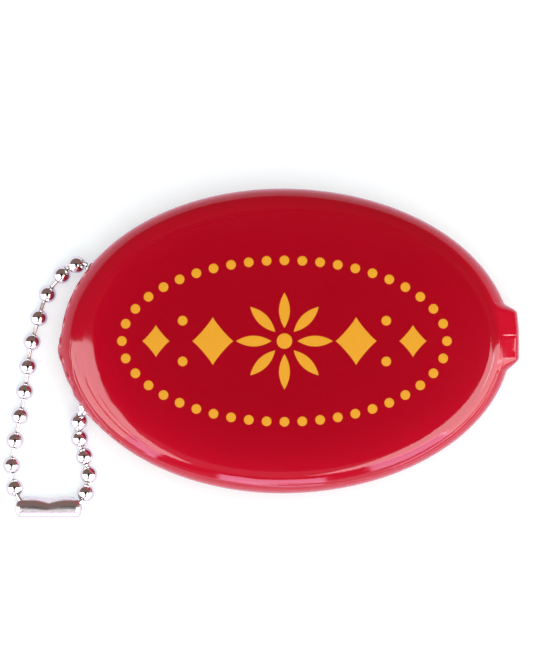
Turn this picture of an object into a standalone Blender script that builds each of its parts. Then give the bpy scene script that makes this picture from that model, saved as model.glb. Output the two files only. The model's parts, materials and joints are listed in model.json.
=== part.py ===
"""Oval squeeze coin pouch with a bead chain. Metres, +Z up, lying on its slit side."""

import math

import bmesh
import bpy
import numpy as np
from mathutils import Matrix, Vector

# Pouch, one soft moulding, measured from the middle of its slit
POUCH_LEFT_REACH = 0.0392
POUCH_RIGHT_REACH = 0.0407
POUCH_HALF_WIDTH = 0.0271
BACK_DEPTH = 0.0066
FRONT_DEPTH = 0.0049
FACE_CROWN = 0.0020
BACK_EDGE_WIDTH = 0.0080
FRONT_EDGE_WIDTH = 0.0041
FRONT_EDGE_LEFT_WIDTH = 0.0063
FRONT_EDGE_LEFT_POWER = 5
WALL = 0.0015
OUTLINE_SIDES = 60
BACK_STEPS = 5
FRONT_STEPS = 6
FACE_SHARES = (0.78, 0.53, 0.27)

# Trimmed end of the moulding, a thin edge that flares out at the left
TRIM_REACH = 0.0010
TRIM_DROP = 0.0012
TRIM_FULL_ANGLE = math.radians(13)
TRIM_END_ANGLE = math.radians(24)
TRIM_RING_SHARE = 0.5

# Nub that is left at the right end where the moulding drained
NUB_REACH = 0.0014
NUB_HALF_WIDTH = 0.0046
NUB_HALF_HEIGHT = 0.0022
NUB_FLARE = 0.0030
NUB_SIDE_SHIFT = 0.0010
NUB_CORNER = 0.0005
NUB_SIDES = 20
NUB_STEPS = 4
NUB_ROUNDNESS = 2.6

# Opening in the back that the two lips close
WINDOW_HALF_LENGTH = 0.0292
WINDOW_HALF_WIDTH = 0.01665
WINDOW_SHIFT = 0.0018
WINDOW_SQUARENESS = 2.3
FLEX_GAP = 0.0003
SLIT_GAP = 0.0003
LIP_POINTS = 33

# Holes that let the chain through the side wall, counted from the left end
UPPER_HOLE_ANGLE = math.radians(29.6)
LOWER_HOLE_ANGLE = math.radians(25.9)
HOLE_HEIGHT = 0.0046
HOLE_RADIUS = 0.0020
HOLE_CUT_LENGTH = 0.0050
HOLE_SIDES = 20

# Bead chain
BALL_RADIUS = 0.0016
BALL_WALL = 0.00013
BALL_HOLE_RADIUS = 0.00060
BALL_SIDES = 10
BALL_STEPS = 5
LINK_ROD_RADIUS = 0.00038
LINK_HEAD_RADIUS = 0.00062
LINK_TIP_RADIUS = 0.00035
LINK_TIP_LENGTH = 0.00012
LINK_HEAD_SLOPE = 0.00030
LINK_SHOWN_LENGTH = 0.00128
LINK_HEAD_REACH = 0.00078
LINK_SIDES = 8
HEAD_GAP = 0.00007
BALL_GAP = 0.00012
INNER_RUN_CLEARANCE = 0.0009
UPPER_LOOSE_COUNT = 2
UPPER_GAP_SPARE = 0.00016
UPPER_END_COUNT = 2
LOWER_END_COUNT = 1
UPPER_BALL_OUT = 0.0003
LOWER_BALL_OUT = 0.0008
SETTLE_ROUNDS = 600
SETTLE_SHARE = 0.02

# Routes of the chain: shares of the straight line between a strand's ends, sideways and of its rise
UPPER_ROUTE_SHARES = (
    (0.003, 0.073, 0.68),
    (0.058, 0.120, 0.29),
    (0.150, 0.156, 0.0),
    (0.350, 0.163, 0.0),
    (0.551, 0.136, 0.0),
    (0.749, 0.118, 0.0),
    (0.853, 0.103, 0.0),
    (0.934, 0.069, 0.0),
)
LOWER_ROUTE_SHARES = (
    (0.162, 0.048, 0.52),
    (0.313, 0.022, 0.12),
    (0.480, -0.050, 0.0),
    (0.648, -0.120, 0.0),
    (0.836, -0.122, 0.0),
)
INNER_ROUTE_SHARES = (
    (0.090, -0.125, 0.5),
    (0.300, -0.225, 0.0),
    (0.500, -0.245, 0.0),
    (0.700, -0.220, 0.0),
    (0.905, -0.115, 0.5),
)
ROUTE_STEPS = 40

# Sleeve that joins the chain's two end balls
CONNECTOR_LENGTH = 0.0118
CONNECTOR_WALL = 0.00022
CONNECTOR_CLEARANCE = 0.00006
CONNECTOR_OUT = 0.0026
CONNECTOR_DOWN = 0.0298
CONNECTOR_TURN = math.radians(0)
CONNECTOR_SIDES = 16
MOUTH_RADIUS = 0.0011
MOUTH_RIM = 0.00025
CURL_LENGTH = 0.0007
WAIST_HALF_LENGTH = 0.0021
WAIST_DEPTH = 0.00055
WAIST_TILT = math.radians(38)
NECK_SLOT_HALF_WIDTH = 0.00135
NECK_SLOT_INNER_REACH = 0.0006
NECK_SLOT_LOW_EDGE = 0.0002
CUT_OVERRUN = 0.001

SMOOTH_ANGLE = math.radians(50)
VINYL_COLOUR = (0.42, 0.0, 0.012, 1)
NICKEL_COLOUR = (0.62, 0.59, 0.56, 1)


def clear_scene():
    for old in list(bpy.data.objects):
        bpy.data.objects.remove(old)


def make_material(name, colour, roughness, metallic):
    material = bpy.data.materials.new(name)
    material.use_nodes = True
    shader = material.node_tree.nodes["Principled BSDF"]
    shader.inputs["Base Color"].default_value = colour
    shader.inputs["Roughness"].default_value = roughness
    shader.inputs["Metallic"].default_value = metallic
    return material


def make_mesh(name, points, faces, material):
    mesh = bpy.data.meshes.new(name)
    mesh.from_pydata([tuple(point) for point in points], [], faces)
    work = bmesh.new()
    work.from_mesh(mesh)
    bmesh.ops.recalc_face_normals(work, faces=work.faces)
    work.to_mesh(mesh)
    work.free()
    mesh.materials.append(material)
    mesh.shade_smooth()
    mesh.set_sharp_from_angle(angle=SMOOTH_ANGLE)
    return mesh


def add_object(name, mesh, place=(0, 0, 0)):
    piece = bpy.data.objects.new(name, mesh)
    piece.location = place
    bpy.context.collection.objects.link(piece)
    return piece


def add_empty(name, place):
    empty = bpy.data.objects.new(name, None)
    empty.location = place
    bpy.context.collection.objects.link(empty)
    return empty


def hang_on(child, parent):
    """Parents child to parent and leaves it where it is."""
    bpy.context.view_layer.update()
    child.parent = parent
    child.matrix_parent_inverse = parent.matrix_world.inverted()


def ring_faces(count, sides, close_rings=False):
    """Quads between rings of points that follow each other."""
    faces = []
    bands = count if close_rings else count - 1
    for band in range(bands):
        low = band * sides
        high = ((band + 1) % count) * sides
        for side in range(sides):
            after = (side + 1) % sides
            faces.append((low + side, low + after, high + after, high + side))
    return faces


# Shape of the pouch


def side_reach(x):
    """Reach of the outline on the side, right or left, that x lies on."""
    return POUCH_RIGHT_REACH if x > 0 else POUCH_LEFT_REACH


def outline_point(angle):
    reach = side_reach(math.cos(angle))
    return Vector((reach * math.cos(angle), POUCH_HALF_WIDTH * math.sin(angle), 0))


def outline_normal(angle):
    reach = side_reach(math.cos(angle))
    return Vector((math.cos(angle) / reach, math.sin(angle) / POUCH_HALF_WIDTH, 0)).normalized()


def inset_point(angle, inset, height):
    place = outline_point(angle) - outline_normal(angle) * inset
    place.z = height
    return place


def front_edge_width(angle):
    """Width of the face's rounded edge, which is wider towards the left end."""
    left_share = max(-math.cos(angle), 0) ** FRONT_EDGE_LEFT_POWER
    return FRONT_EDGE_WIDTH + (FRONT_EDGE_LEFT_WIDTH - FRONT_EDGE_WIDTH) * left_share


def crown_height(place):
    """Rise of the face at this place, from none at the outline to all of it in the middle."""
    far_share = (place.x / side_reach(place.x)) ** 2 + (place.y / POUCH_HALF_WIDTH) ** 2
    return FACE_CROWN * max(1 - far_share, 0)


def crowned(places):
    """The same places, raised by the face's crown."""
    return [place + Vector((0, 0, crown_height(place))) for place in places]


def trim_share(angle):
    """How far the trimmed edge flares at this angle, from 0 to 1."""
    from_left = abs(math.pi - angle % math.tau)
    share = (TRIM_END_ANGLE - from_left) / (TRIM_END_ANGLE - TRIM_FULL_ANGLE)
    share = min(max(share, 0), 1)
    return share * share * (3 - 2 * share)


def trimmed_point(angle, inset, height, ring_share):
    flare = trim_share(angle) * ring_share
    return inset_point(angle, inset - TRIM_REACH * flare, height - TRIM_DROP * flare)


def window_point(angle, margin, height):
    power = 2 / WINDOW_SQUARENESS
    x = math.copysign(abs(math.cos(angle)) ** power, math.cos(angle))
    y = math.copysign(abs(math.sin(angle)) ** power, math.sin(angle))
    return Vector(
        (
            WINDOW_SHIFT + (WINDOW_HALF_LENGTH - margin) * x,
            (WINDOW_HALF_WIDTH - margin) * y,
            height,
        )
    )


def skin_rings(offset, angles):
    """Rings of the pouch's skin from the window's edge up over the face, offset inwards."""
    rings = [[window_point(angle, 0, offset) for angle in angles]]
    for step in range(BACK_STEPS + 1):
        turn = math.pi / 2 * step / BACK_STEPS
        inset = BACK_EDGE_WIDTH - (BACK_EDGE_WIDTH - offset) * math.sin(turn)
        height = BACK_DEPTH - (BACK_DEPTH - offset) * math.cos(turn)
        near_rim = {BACK_STEPS: 1, BACK_STEPS - 1: TRIM_RING_SHARE}.get(step, 0)
        share = 0 if offset else near_rim
        rings.append([trimmed_point(angle, inset, height, share) for angle in angles])
    for step in range(1, FRONT_STEPS + 1):
        turn = math.pi / 2 * step / FRONT_STEPS
        height = BACK_DEPTH + (FRONT_DEPTH - offset) * math.sin(turn)
        share = 0 if offset or step > 1 else TRIM_RING_SHARE
        ring = []
        for angle in angles:
            width = front_edge_width(angle)
            inset = width - (width - offset) * math.cos(turn)
            ring.append(trimmed_point(angle, inset, height, share))
        rings.append(crowned(ring))
    last = rings[-1]
    top = BACK_DEPTH + FRONT_DEPTH - offset
    for share in FACE_SHARES:
        rings.append(crowned([Vector((point.x * share, point.y * share, top)) for point in last]))
    return rings, crowned([Vector((0, 0, top))])[0]


def shell_mesh(material):
    angles = [math.tau * (side + 0.5) / OUTLINE_SIDES for side in range(OUTLINE_SIDES)]
    outer, outer_pole = skin_rings(0, angles)
    inner, inner_pole = skin_rings(WALL, angles)
    rings = outer[::-1] + inner
    points = [point for ring in rings for point in ring]
    faces = ring_faces(len(rings), OUTLINE_SIDES)
    poles = (len(points), len(points) + 1)
    last = (len(rings) - 1) * OUTLINE_SIDES
    for side in range(OUTLINE_SIDES):
        after = (side + 1) % OUTLINE_SIDES
        faces.append((poles[0], side, after))
        faces.append((poles[1], last + side, last + after))
    return make_mesh("pouch_shell", points + [outer_pole, inner_pole], faces, material)


def side_inset(rise):
    """How far the side wall has drawn in at this height from the widest line."""
    if rise > 0:
        return FRONT_EDGE_WIDTH * (1 - math.sqrt(1 - (rise / FRONT_DEPTH) ** 2))
    return BACK_EDGE_WIDTH * (1 - math.sqrt(1 - (rise / BACK_DEPTH) ** 2))


def nub_mesh(material):
    """The nub, whose wide root follows the middle of the pouch's wall."""
    points = []
    end = POUCH_RIGHT_REACH + NUB_REACH
    for step in range(NUB_STEPS + 1):
        share = step / NUB_STEPS
        flare = NUB_FLARE * (1 - share) ** 2
        for side in range(NUB_SIDES):
            turn = math.tau * side / NUB_SIDES
            y = math.copysign(abs(math.cos(turn)) ** (2 / NUB_ROUNDNESS), math.cos(turn))
            z = math.copysign(abs(math.sin(turn)) ** (2 / NUB_ROUNDNESS), math.sin(turn))
            y = NUB_SIDE_SHIFT + (NUB_HALF_WIDTH + flare) * y
            z = (NUB_HALF_HEIGHT + flare / 2) * z
            rim_x = POUCH_RIGHT_REACH * math.sqrt(1 - (y / POUCH_HALF_WIDTH) ** 2)
            root = rim_x - side_inset(z) - WALL / 2
            x = root + (end - NUB_CORNER - root) * share
            points.append(Vector((x, y, BACK_DEPTH + z)))
    inner = 1 - NUB_CORNER / NUB_HALF_HEIGHT
    middle = Vector((0, NUB_SIDE_SHIFT, BACK_DEPTH))
    for point in points[-NUB_SIDES:]:
        y = middle.y + (point.y - middle.y) * (1 - NUB_CORNER / NUB_HALF_WIDTH)
        points.append(Vector((end, y, middle.z + (point.z - middle.z) * inner)))
    rings = NUB_STEPS + 2
    faces = ring_faces(rings, NUB_SIDES)
    faces.append(tuple(range(NUB_SIDES)))
    faces.append(tuple(range((rings - 1) * NUB_SIDES, rings * NUB_SIDES)))
    return make_mesh("nub", points, faces, material)


def lip_mesh(name, side, material):
    """One lip: half of the window's outline with a gap all round, about its flex line."""
    slit_edge = SLIT_GAP / 2
    start = math.asin((slit_edge / (WINDOW_HALF_WIDTH - FLEX_GAP)) ** (WINDOW_SQUARENESS / 2))
    flex_line = Vector((WINDOW_SHIFT, side * flex_line_offset(), 0))
    outline = []
    for step in range(LIP_POINTS):
        angle = start + (math.pi - 2 * start) * step / (LIP_POINTS - 1)
        point = window_point(angle, FLEX_GAP, 0)
        point.y *= side
        outline.append(point - flex_line)
    points = outline + [point + Vector((0, 0, WALL)) for point in outline]
    faces = ring_faces(2, LIP_POINTS)
    faces.append(tuple(range(LIP_POINTS)))
    faces.append(tuple(range(LIP_POINTS, 2 * LIP_POINTS)))
    return make_mesh(name, points, faces, material), flex_line


def flex_line_offset():
    return WINDOW_HALF_WIDTH - FLEX_GAP / 2


def hole_frame(side_angle):
    """Middle of a chain hole in the side wall, and the wall's outward direction there."""
    angle = math.pi - side_angle
    fall = (BACK_DEPTH - HOLE_HEIGHT) / BACK_DEPTH
    spread = math.sqrt(1 - fall**2)
    flat = outline_normal(angle)
    outward = flat * spread / BACK_EDGE_WIDTH
    outward.z = -fall / BACK_DEPTH
    outward.normalize()
    surface = inset_point(angle, BACK_EDGE_WIDTH * (1 - spread), HOLE_HEIGHT)
    return surface - outward * WALL / 2, outward


def hole_cutter(name, side_angle):
    middle, outward = hole_frame(side_angle)
    work = bmesh.new()
    bmesh.ops.create_cone(
        work,
        cap_ends=True,
        segments=HOLE_SIDES,
        radius1=HOLE_RADIUS,
        radius2=HOLE_RADIUS,
        depth=HOLE_CUT_LENGTH,
    )
    mesh = bpy.data.meshes.new(name)
    work.to_mesh(mesh)
    work.free()
    cutter = add_object(name, mesh, middle)
    cutter.rotation_mode = "QUATERNION"
    cutter.rotation_quaternion = outward.to_track_quat("Z", "Y")
    return cutter


def use_cutter(piece, cutter, operation):
    cutter.hide_render = True
    cutter.display_type = "WIRE"
    modifier = piece.modifiers.new(cutter.name, "BOOLEAN")
    modifier.object = cutter
    modifier.operation = operation


def make_pouch(vinyl):
    shell = add_object("pouch_shell", shell_mesh(vinyl))
    nub = add_object("nub_form", nub_mesh(vinyl))
    use_cutter(shell, nub, "UNION")
    cutters = [nub]
    for name, angle in (("upper_hole", UPPER_HOLE_ANGLE), ("lower_hole", -LOWER_HOLE_ANGLE)):
        cutter = hole_cutter(name, angle)
        use_cutter(shell, cutter, "DIFFERENCE")
        cutters.append(cutter)
    lips = []
    for name, side in (("upper_lip", 1), ("lower_lip", -1)):
        mesh, flex_line = lip_mesh(name, side, vinyl)
        lips.append(add_object(name, mesh, flex_line))
    return [shell, *cutters, *lips]


# Route of the chain


def pivot_radius():
    """Distance from a ball's middle to the middle of its wall at a hole's edge."""
    return math.sqrt((BALL_RADIUS - BALL_WALL / 2) ** 2 - BALL_HOLE_RADIUS**2)


def link_length():
    return LINK_SHOWN_LENGTH + 2 * (BALL_RADIUS - pivot_radius()) + 2 * LINK_HEAD_REACH


def taut_pitch():
    """Distance between balls when the chain is pulled straight."""
    return 2 * BALL_RADIUS + LINK_SHOWN_LENGTH


def loose_pitch():
    """Least distance between balls: they, or the heads inside them, nearly touch."""
    return max(2 * BALL_RADIUS + BALL_GAP, link_length() + 2 * HEAD_GAP)


def connector_radius():
    """Outer radius of the sleeve whose flat sides still clear the balls."""
    inner = (BALL_RADIUS + CONNECTOR_CLEARANCE) / math.cos(math.pi / CONNECTOR_SIDES)
    return inner + CONNECTOR_WALL


def connector_middle():
    return Vector((-POUCH_LEFT_REACH - CONNECTOR_OUT, -CONNECTOR_DOWN, connector_radius()))


def end_ball_offset():
    return CONNECTOR_LENGTH / 2 - CONNECTOR_WALL - CONNECTOR_CLEARANCE - BALL_RADIUS


def end_balls():
    along = Vector((math.cos(CONNECTOR_TURN), math.sin(CONNECTOR_TURN), 0)) * end_ball_offset()
    return connector_middle() - along, connector_middle() + along


def curve_through(points):
    """A smooth curve through the points, as many short straight steps."""
    padded = [2 * points[0] - points[1], *points, 2 * points[-1] - points[-2]]
    track = []
    for before, start, end, after in zip(padded, padded[1:], padded[2:], padded[3:]):
        for step in range(ROUTE_STEPS):
            t = step / ROUTE_STEPS
            bend = 2 * before - 5 * start + 4 * end - after
            twist = -before + 3 * start - 3 * end + after
            track.append(0.5 * (2 * start + (end - before) * t + bend * t**2 + twist * t**3))
    return np.array([*track, points[-1]])


def route(start, end, shares, low_height):
    """Curve from start to end, whose inner points are shares of the line between them."""
    line = np.array([end.x - start.x, end.y - start.y])
    across = np.array([line[1], -line[0]])
    places = [np.array(start)]
    for along_share, across_share, rise_share in shares:
        flat = np.array([start.x, start.y]) + line * along_share + across * across_share
        height = low_height + (start.z - low_height) * rise_share
        places.append(np.array([flat[0], flat[1], height]))
    places.append(np.array(end))
    track = curve_through(places)
    track[:, 2] = np.maximum(track[:, 2], low_height)
    return track


def length_along(track):
    return np.concatenate([[0], np.cumsum(np.linalg.norm(np.diff(track, axis=0), axis=1))])


def balls_along(track, gaps):
    """Ball middles at these distances apart along the track, both ends included."""
    lengths = length_along(track)
    stops = np.concatenate([[0], np.cumsum(gaps)])
    return [
        Vector([float(np.interp(stop, lengths, track[:, axis])) for axis in range(3)])
        for stop in stops
    ]


def strand_gaps(length, pitch, count, end_count):
    """Gaps of one pitch, of which the last ones take up what is left over."""
    spare = length - pitch * count
    changed = max(end_count, math.ceil(abs(spare) / (taut_pitch() - loose_pitch())))
    return [pitch] * (count - changed) + [pitch + spare / changed] * changed


def hole_ball(side_angle, out):
    """Middle of the ball that lies in a hole, this far out from the middle of the wall."""
    middle, outward = hole_frame(side_angle)
    return middle + outward * out


def chain_strands():
    """Ball middles of the upper strand, the run inside the pouch and the lower strand."""
    upper_hole = hole_ball(UPPER_HOLE_ANGLE, UPPER_BALL_OUT)
    lower_hole = hole_ball(-LOWER_HOLE_ANGLE, LOWER_BALL_OUT)
    left_end, right_end = end_balls()
    upper_track = route(upper_hole, left_end, UPPER_ROUTE_SHARES, BALL_RADIUS)
    loose = [loose_pitch() + UPPER_GAP_SPARE] * UPPER_LOOSE_COUNT
    taut_length = length_along(upper_track)[-1] - sum(loose)
    taut_count = math.ceil(taut_length / taut_pitch())
    taut = strand_gaps(taut_length, taut_pitch(), taut_count, UPPER_END_COUNT)
    lower_track = route(lower_hole, right_end, LOWER_ROUTE_SHARES, BALL_RADIUS)
    lower_length = length_along(lower_track)[-1]
    slack_count = math.floor(lower_length / loose_pitch())
    slack = strand_gaps(lower_length, loose_pitch(), slack_count, LOWER_END_COUNT)
    low_height = WALL + BALL_RADIUS + INNER_RUN_CLEARANCE
    inner_track = route(upper_hole, lower_hole, INNER_ROUTE_SHARES, low_height)
    inner_length = length_along(inner_track)[-1]
    inner_count = math.ceil(inner_length / taut_pitch())
    even = [inner_length / inner_count] * inner_count
    return (
        balls_along(upper_track, loose + taut),
        balls_along(inner_track, even),
        balls_along(lower_track, slack),
    )


def chain_places(upper, inner, lower):
    """All ball middles in order, from the connector's left end round to its right end."""
    return upper[::-1] + inner[1:-1] + lower


def hole_points(places, directions):
    """For each ball the middles of its two hole edges, back along the chain and on along it."""
    reach = pivot_radius()
    return [
        (place - direction * reach, place + direction * reach)
        for place, direction in zip(places, directions)
    ]


def settled_directions(places):
    """Each ball's hole axis, turned bit by bit until all links lie as straight in it as they can.

    Turning a ball tilts its two links in it, and tilts them more in its neighbours, as its holes
    lie away from its middle: lever is how much more.
    """
    lines = [(after - place).normalized() for place, after in zip(places, places[1:])]
    directions = [(a + b).normalized() for a, b in zip(lines[:1] + lines, lines + lines[-1:])]
    for _ in range(SETTLE_ROUNDS):
        holes = hole_points(places, directions)
        turns = [Vector() for _ in places]
        for index, (hole, after) in enumerate(zip(holes, holes[1:])):
            line = after[0] - hole[1]
            lever = pivot_radius() / line.length
            line.normalize()
            tilt = line - directions[index]
            next_tilt = line - directions[index + 1]
            turns[index] += tilt + (tilt + next_tilt) * lever
            turns[index + 1] += next_tilt + (tilt + next_tilt) * lever
        directions = [(d + turn * SETTLE_SHARE).normalized() for d, turn in zip(directions, turns)]
    return directions


# Pieces of the chain


def ball_mesh(material):
    """Hollow ball with a hole at each end of its Z axis."""
    start = math.asin(BALL_HOLE_RADIUS / BALL_RADIUS)
    profile = []
    for radius, order in ((BALL_RADIUS, 1), (BALL_RADIUS - BALL_WALL, -1)):
        arc = []
        for step in range(BALL_STEPS + 1):
            turn = start + (math.pi - 2 * start) * step / BALL_STEPS
            arc.append((radius * math.sin(turn), radius * math.cos(turn)))
        profile += arc[::order]
    points = []
    for radius, height in profile:
        for side in range(BALL_SIDES):
            turn = math.tau * side / BALL_SIDES
            points.append(Vector((radius * math.cos(turn), radius * math.sin(turn), height)))
    return make_mesh("chain_ball", points, ring_faces(len(profile), BALL_SIDES, True), material)


def link_mesh(material):
    """Short rod with a head at each end, about its middle and along Z."""
    half = link_length() / 2
    head = half - LINK_TIP_LENGTH
    profile = [
        (LINK_TIP_RADIUS, half),
        (LINK_HEAD_RADIUS, head),
        (LINK_ROD_RADIUS, head - LINK_HEAD_SLOPE),
    ]
    profile += [(radius, -height) for radius, height in profile[::-1]]
    points = []
    for radius, height in profile:
        for side in range(LINK_SIDES):
            turn = math.tau * side / LINK_SIDES
            points.append(Vector((radius * math.cos(turn), radius * math.sin(turn), height)))
    faces = ring_faces(len(profile), LINK_SIDES)
    faces.append(tuple(range(LINK_SIDES)))
    faces.append(tuple(range((len(profile) - 1) * LINK_SIDES, len(profile) * LINK_SIDES)))
    return make_mesh("chain_link", points, faces, material)


def place_along(piece, direction):
    piece.rotation_mode = "QUATERNION"
    piece.rotation_quaternion = direction.to_track_quat("Z", "Y")


def connector_profile():
    """Half of the sleeve's outer and inner profiles, from its mouth to its waist."""
    outer_radius = connector_radius()
    inner_radius = outer_radius - CONNECTOR_WALL
    half = CONNECTOR_LENGTH / 2
    outer = [(-half, MOUTH_RADIUS - MOUTH_RIM, 0)]
    inner = [(-half + CONNECTOR_WALL, MOUTH_RADIUS - MOUTH_RIM, 0)]
    for turn in (0, math.pi / 4, math.pi / 2):
        curl = CURL_LENGTH * (1 - math.cos(turn))
        rise = math.sin(turn)
        outer.append((-half + curl, MOUTH_RADIUS + (outer_radius - MOUTH_RADIUS) * rise, 0))
        if turn > 0:
            inner.append(
                (-half + CONNECTOR_WALL + curl, MOUTH_RADIUS + (inner_radius - MOUTH_RADIUS) * rise, 0)
            )
    for profile, radius in ((outer, outer_radius), (inner, inner_radius)):
        for share in (0, 0.5, 1):
            profile.append((-WAIST_HALF_LENGTH * (1 - share), radius, share))
    return outer, inner


def connector_point(x, radius, press, side):
    turn = math.tau * (side + 0.5) / CONNECTOR_SIDES
    point = Vector((x, radius * math.cos(turn), radius * math.sin(turn)))
    push = Vector((0, math.cos(WAIST_TILT), math.sin(WAIST_TILT)))
    excess = point.dot(push) - (radius - WAIST_DEPTH * press)
    return point - push * max(excess, 0) if press else point


def connector_mesh(material):
    outer, inner = connector_profile()
    profile = outer + [(-x, radius, press) for x, radius, press in outer[-2::-1]]
    back = inner + [(-x, radius, press) for x, radius, press in inner[-2::-1]]
    profile += back[::-1]
    points = [
        connector_point(x, radius, press, side)
        for x, radius, press in profile
        for side in range(CONNECTOR_SIDES)
    ]
    faces = ring_faces(len(profile), CONNECTOR_SIDES, True)
    return make_mesh("chain_connector", points, faces, material)


def neck_cutter(end):
    """Box that opens the sleeve's end and its pouch side for a link's neck."""
    low_x = end_ball_offset() - NECK_SLOT_INNER_REACH
    high_x = CONNECTOR_LENGTH / 2 + CUT_OVERRUN
    high_y = connector_radius() + CUT_OVERRUN
    size = (high_x - low_x, high_y + NECK_SLOT_LOW_EDGE, 2 * NECK_SLOT_HALF_WIDTH)
    middle = Vector((end * (low_x + high_x) / 2, (high_y - NECK_SLOT_LOW_EDGE) / 2, 0))
    work = bmesh.new()
    bmesh.ops.create_cube(work, size=1, matrix=Matrix.Translation(middle) @ Matrix.Diagonal((*size, 1)))
    name = "left_neck_slot" if end < 0 else "right_neck_slot"
    mesh = bpy.data.meshes.new(name)
    work.to_mesh(mesh)
    work.free()
    return add_object(name, mesh, connector_middle())


def make_connector(nickel):
    connector = add_object("chain_connector", connector_mesh(nickel), connector_middle())
    connector.rotation_euler.z = CONNECTOR_TURN
    cutters = [neck_cutter(-1), neck_cutter(1)]
    for cutter in cutters:
        cutter.rotation_euler.z = CONNECTOR_TURN
        use_cutter(connector, cutter, "DIFFERENCE")
    return connector, cutters


# Folds of the chain: each turns about a line through one hole edge of either strand


def fold_rungs(upper_count, lower_count):
    """Pairs of ball numbers, counted out from the wall, that each fold's line joins."""
    rungs = [(0, 0)]
    for rung in range(1, lower_count):
        step = (upper_count - 3) / (lower_count - 2)
        rungs.append((round(1 + (rung - 1) * step), rung))
    return rungs


def fold_numbers(upper_count, inner_count, lower_count, rungs):
    """For each ball, then each link, the number of folds between it and the pouch."""
    upper = [sum(rung[0] < ball for rung in rungs) for ball in range(upper_count)]
    lower = [sum(rung[1] < ball for rung in rungs[:-1]) for ball in range(lower_count)]
    lower[-1] = len(rungs)
    balls = upper[::-1] + [0] * (inner_count - 2) + lower
    lower_links = [sum(rung[1] < ball for rung in rungs[:-1]) for ball in range(1, lower_count)]
    links = upper[:0:-1] + [0] * (inner_count - 1) + lower_links
    return balls, links


def fold_lines(upper, lower, holes, rungs):
    """Start and end of each fold's line."""
    last = len(holes) - len(lower)
    lines = []
    for number, (upper_ball, lower_ball) in enumerate(rungs):
        start = holes[len(upper) - 1 - upper_ball][0]
        on_last_ball = number == len(rungs) - 1
        end = holes[last + lower_ball][0 if on_last_ball else 1]
        lines.append((start, end))
    return lines


def make_chain(nickel, steel):
    upper, inner, lower = chain_strands()
    places = chain_places(upper, inner, lower)
    directions = settled_directions(places)
    holes = hole_points(places, directions)
    rungs = fold_rungs(len(upper), len(lower))
    ball_folds, link_folds = fold_numbers(len(upper), len(inner), len(lower), rungs)
    hinges = [
        add_empty(f"fold_line_{number}", start)
        for number, (start, end) in enumerate(fold_lines(upper, lower, holes, rungs), 1)
    ]
    pieces = []
    shared_ball = ball_mesh(nickel)
    for number, (place, direction) in enumerate(zip(places, directions)):
        ball = add_object(f"chain_ball_{number + 1:02d}", shared_ball, place)
        place_along(ball, direction)
        pieces.append((ball, ball_folds[number]))
    shared_link = link_mesh(steel)
    for number, (hole, next_hole) in enumerate(zip(holes, holes[1:])):
        start, end = hole[1], next_hole[0]
        link = add_object(f"chain_link_{number + 1:02d}", shared_link, (start + end) / 2)
        place_along(link, (end - start).normalized())
        pieces.append((link, link_folds[number]))
    return pieces, hinges


def join_chain(pieces, hinges, connector, cutters, base):
    """Hangs each piece on its fold's empty and each empty on the one before."""
    carriers = [base, *hinges]
    for carrier, hinge in zip(carriers, hinges):
        hang_on(hinge, carrier)
    for piece, folds in pieces:
        hang_on(piece, carriers[folds])
    hang_on(connector, hinges[-1])
    for cutter in cutters:
        hang_on(cutter, connector)


def floor_middle():
    """Middle of the box round the whole object, seen from above."""
    places = chain_places(*chain_strands())
    left = min(place.x for place in places) - BALL_RADIUS
    right = POUCH_RIGHT_REACH + NUB_REACH
    low = connector_middle().y - connector_radius()
    return Vector(((left + right) / 2, (low + POUCH_HALF_WIDTH) / 2, 0))


def main():
    clear_scene()
    vinyl = make_material("red_vinyl", VINYL_COLOUR, 0.12, 0)
    nickel = make_material("nickel_plate", NICKEL_COLOUR, 0.18, 1)
    steel = make_material("bright_steel_wire", NICKEL_COLOUR, 0.22, 1)
    base = add_empty("pouch_middle", (0, 0, 0))
    for piece in make_pouch(vinyl):
        hang_on(piece, base)
    pieces, hinges = make_chain(nickel, steel)
    connector, cutters = make_connector(nickel)
    join_chain(pieces, hinges, connector, cutters, base)
    base.location = -floor_middle()


main()
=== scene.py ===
# %% [markdown]
# # A squeeze coin pouch with a bead chain
#
# The real object is a little oval purse, dipped from soft PVC (vinyl) in one piece. Its mouth is
# a slit in the back, which opens when the two ends are squeezed. A nickel-plated bead chain runs
# through two holes in its left end and closes with a stamped sleeve.
#
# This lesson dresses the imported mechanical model: every piece here takes its place from a node
# of that model and rides on the same moving body. First come the tools.

import json
import math

import bmesh
import bpy
import numpy as np
from mathutils import Matrix, Vector
from mathutils.bvhtree import BVHTree

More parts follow.
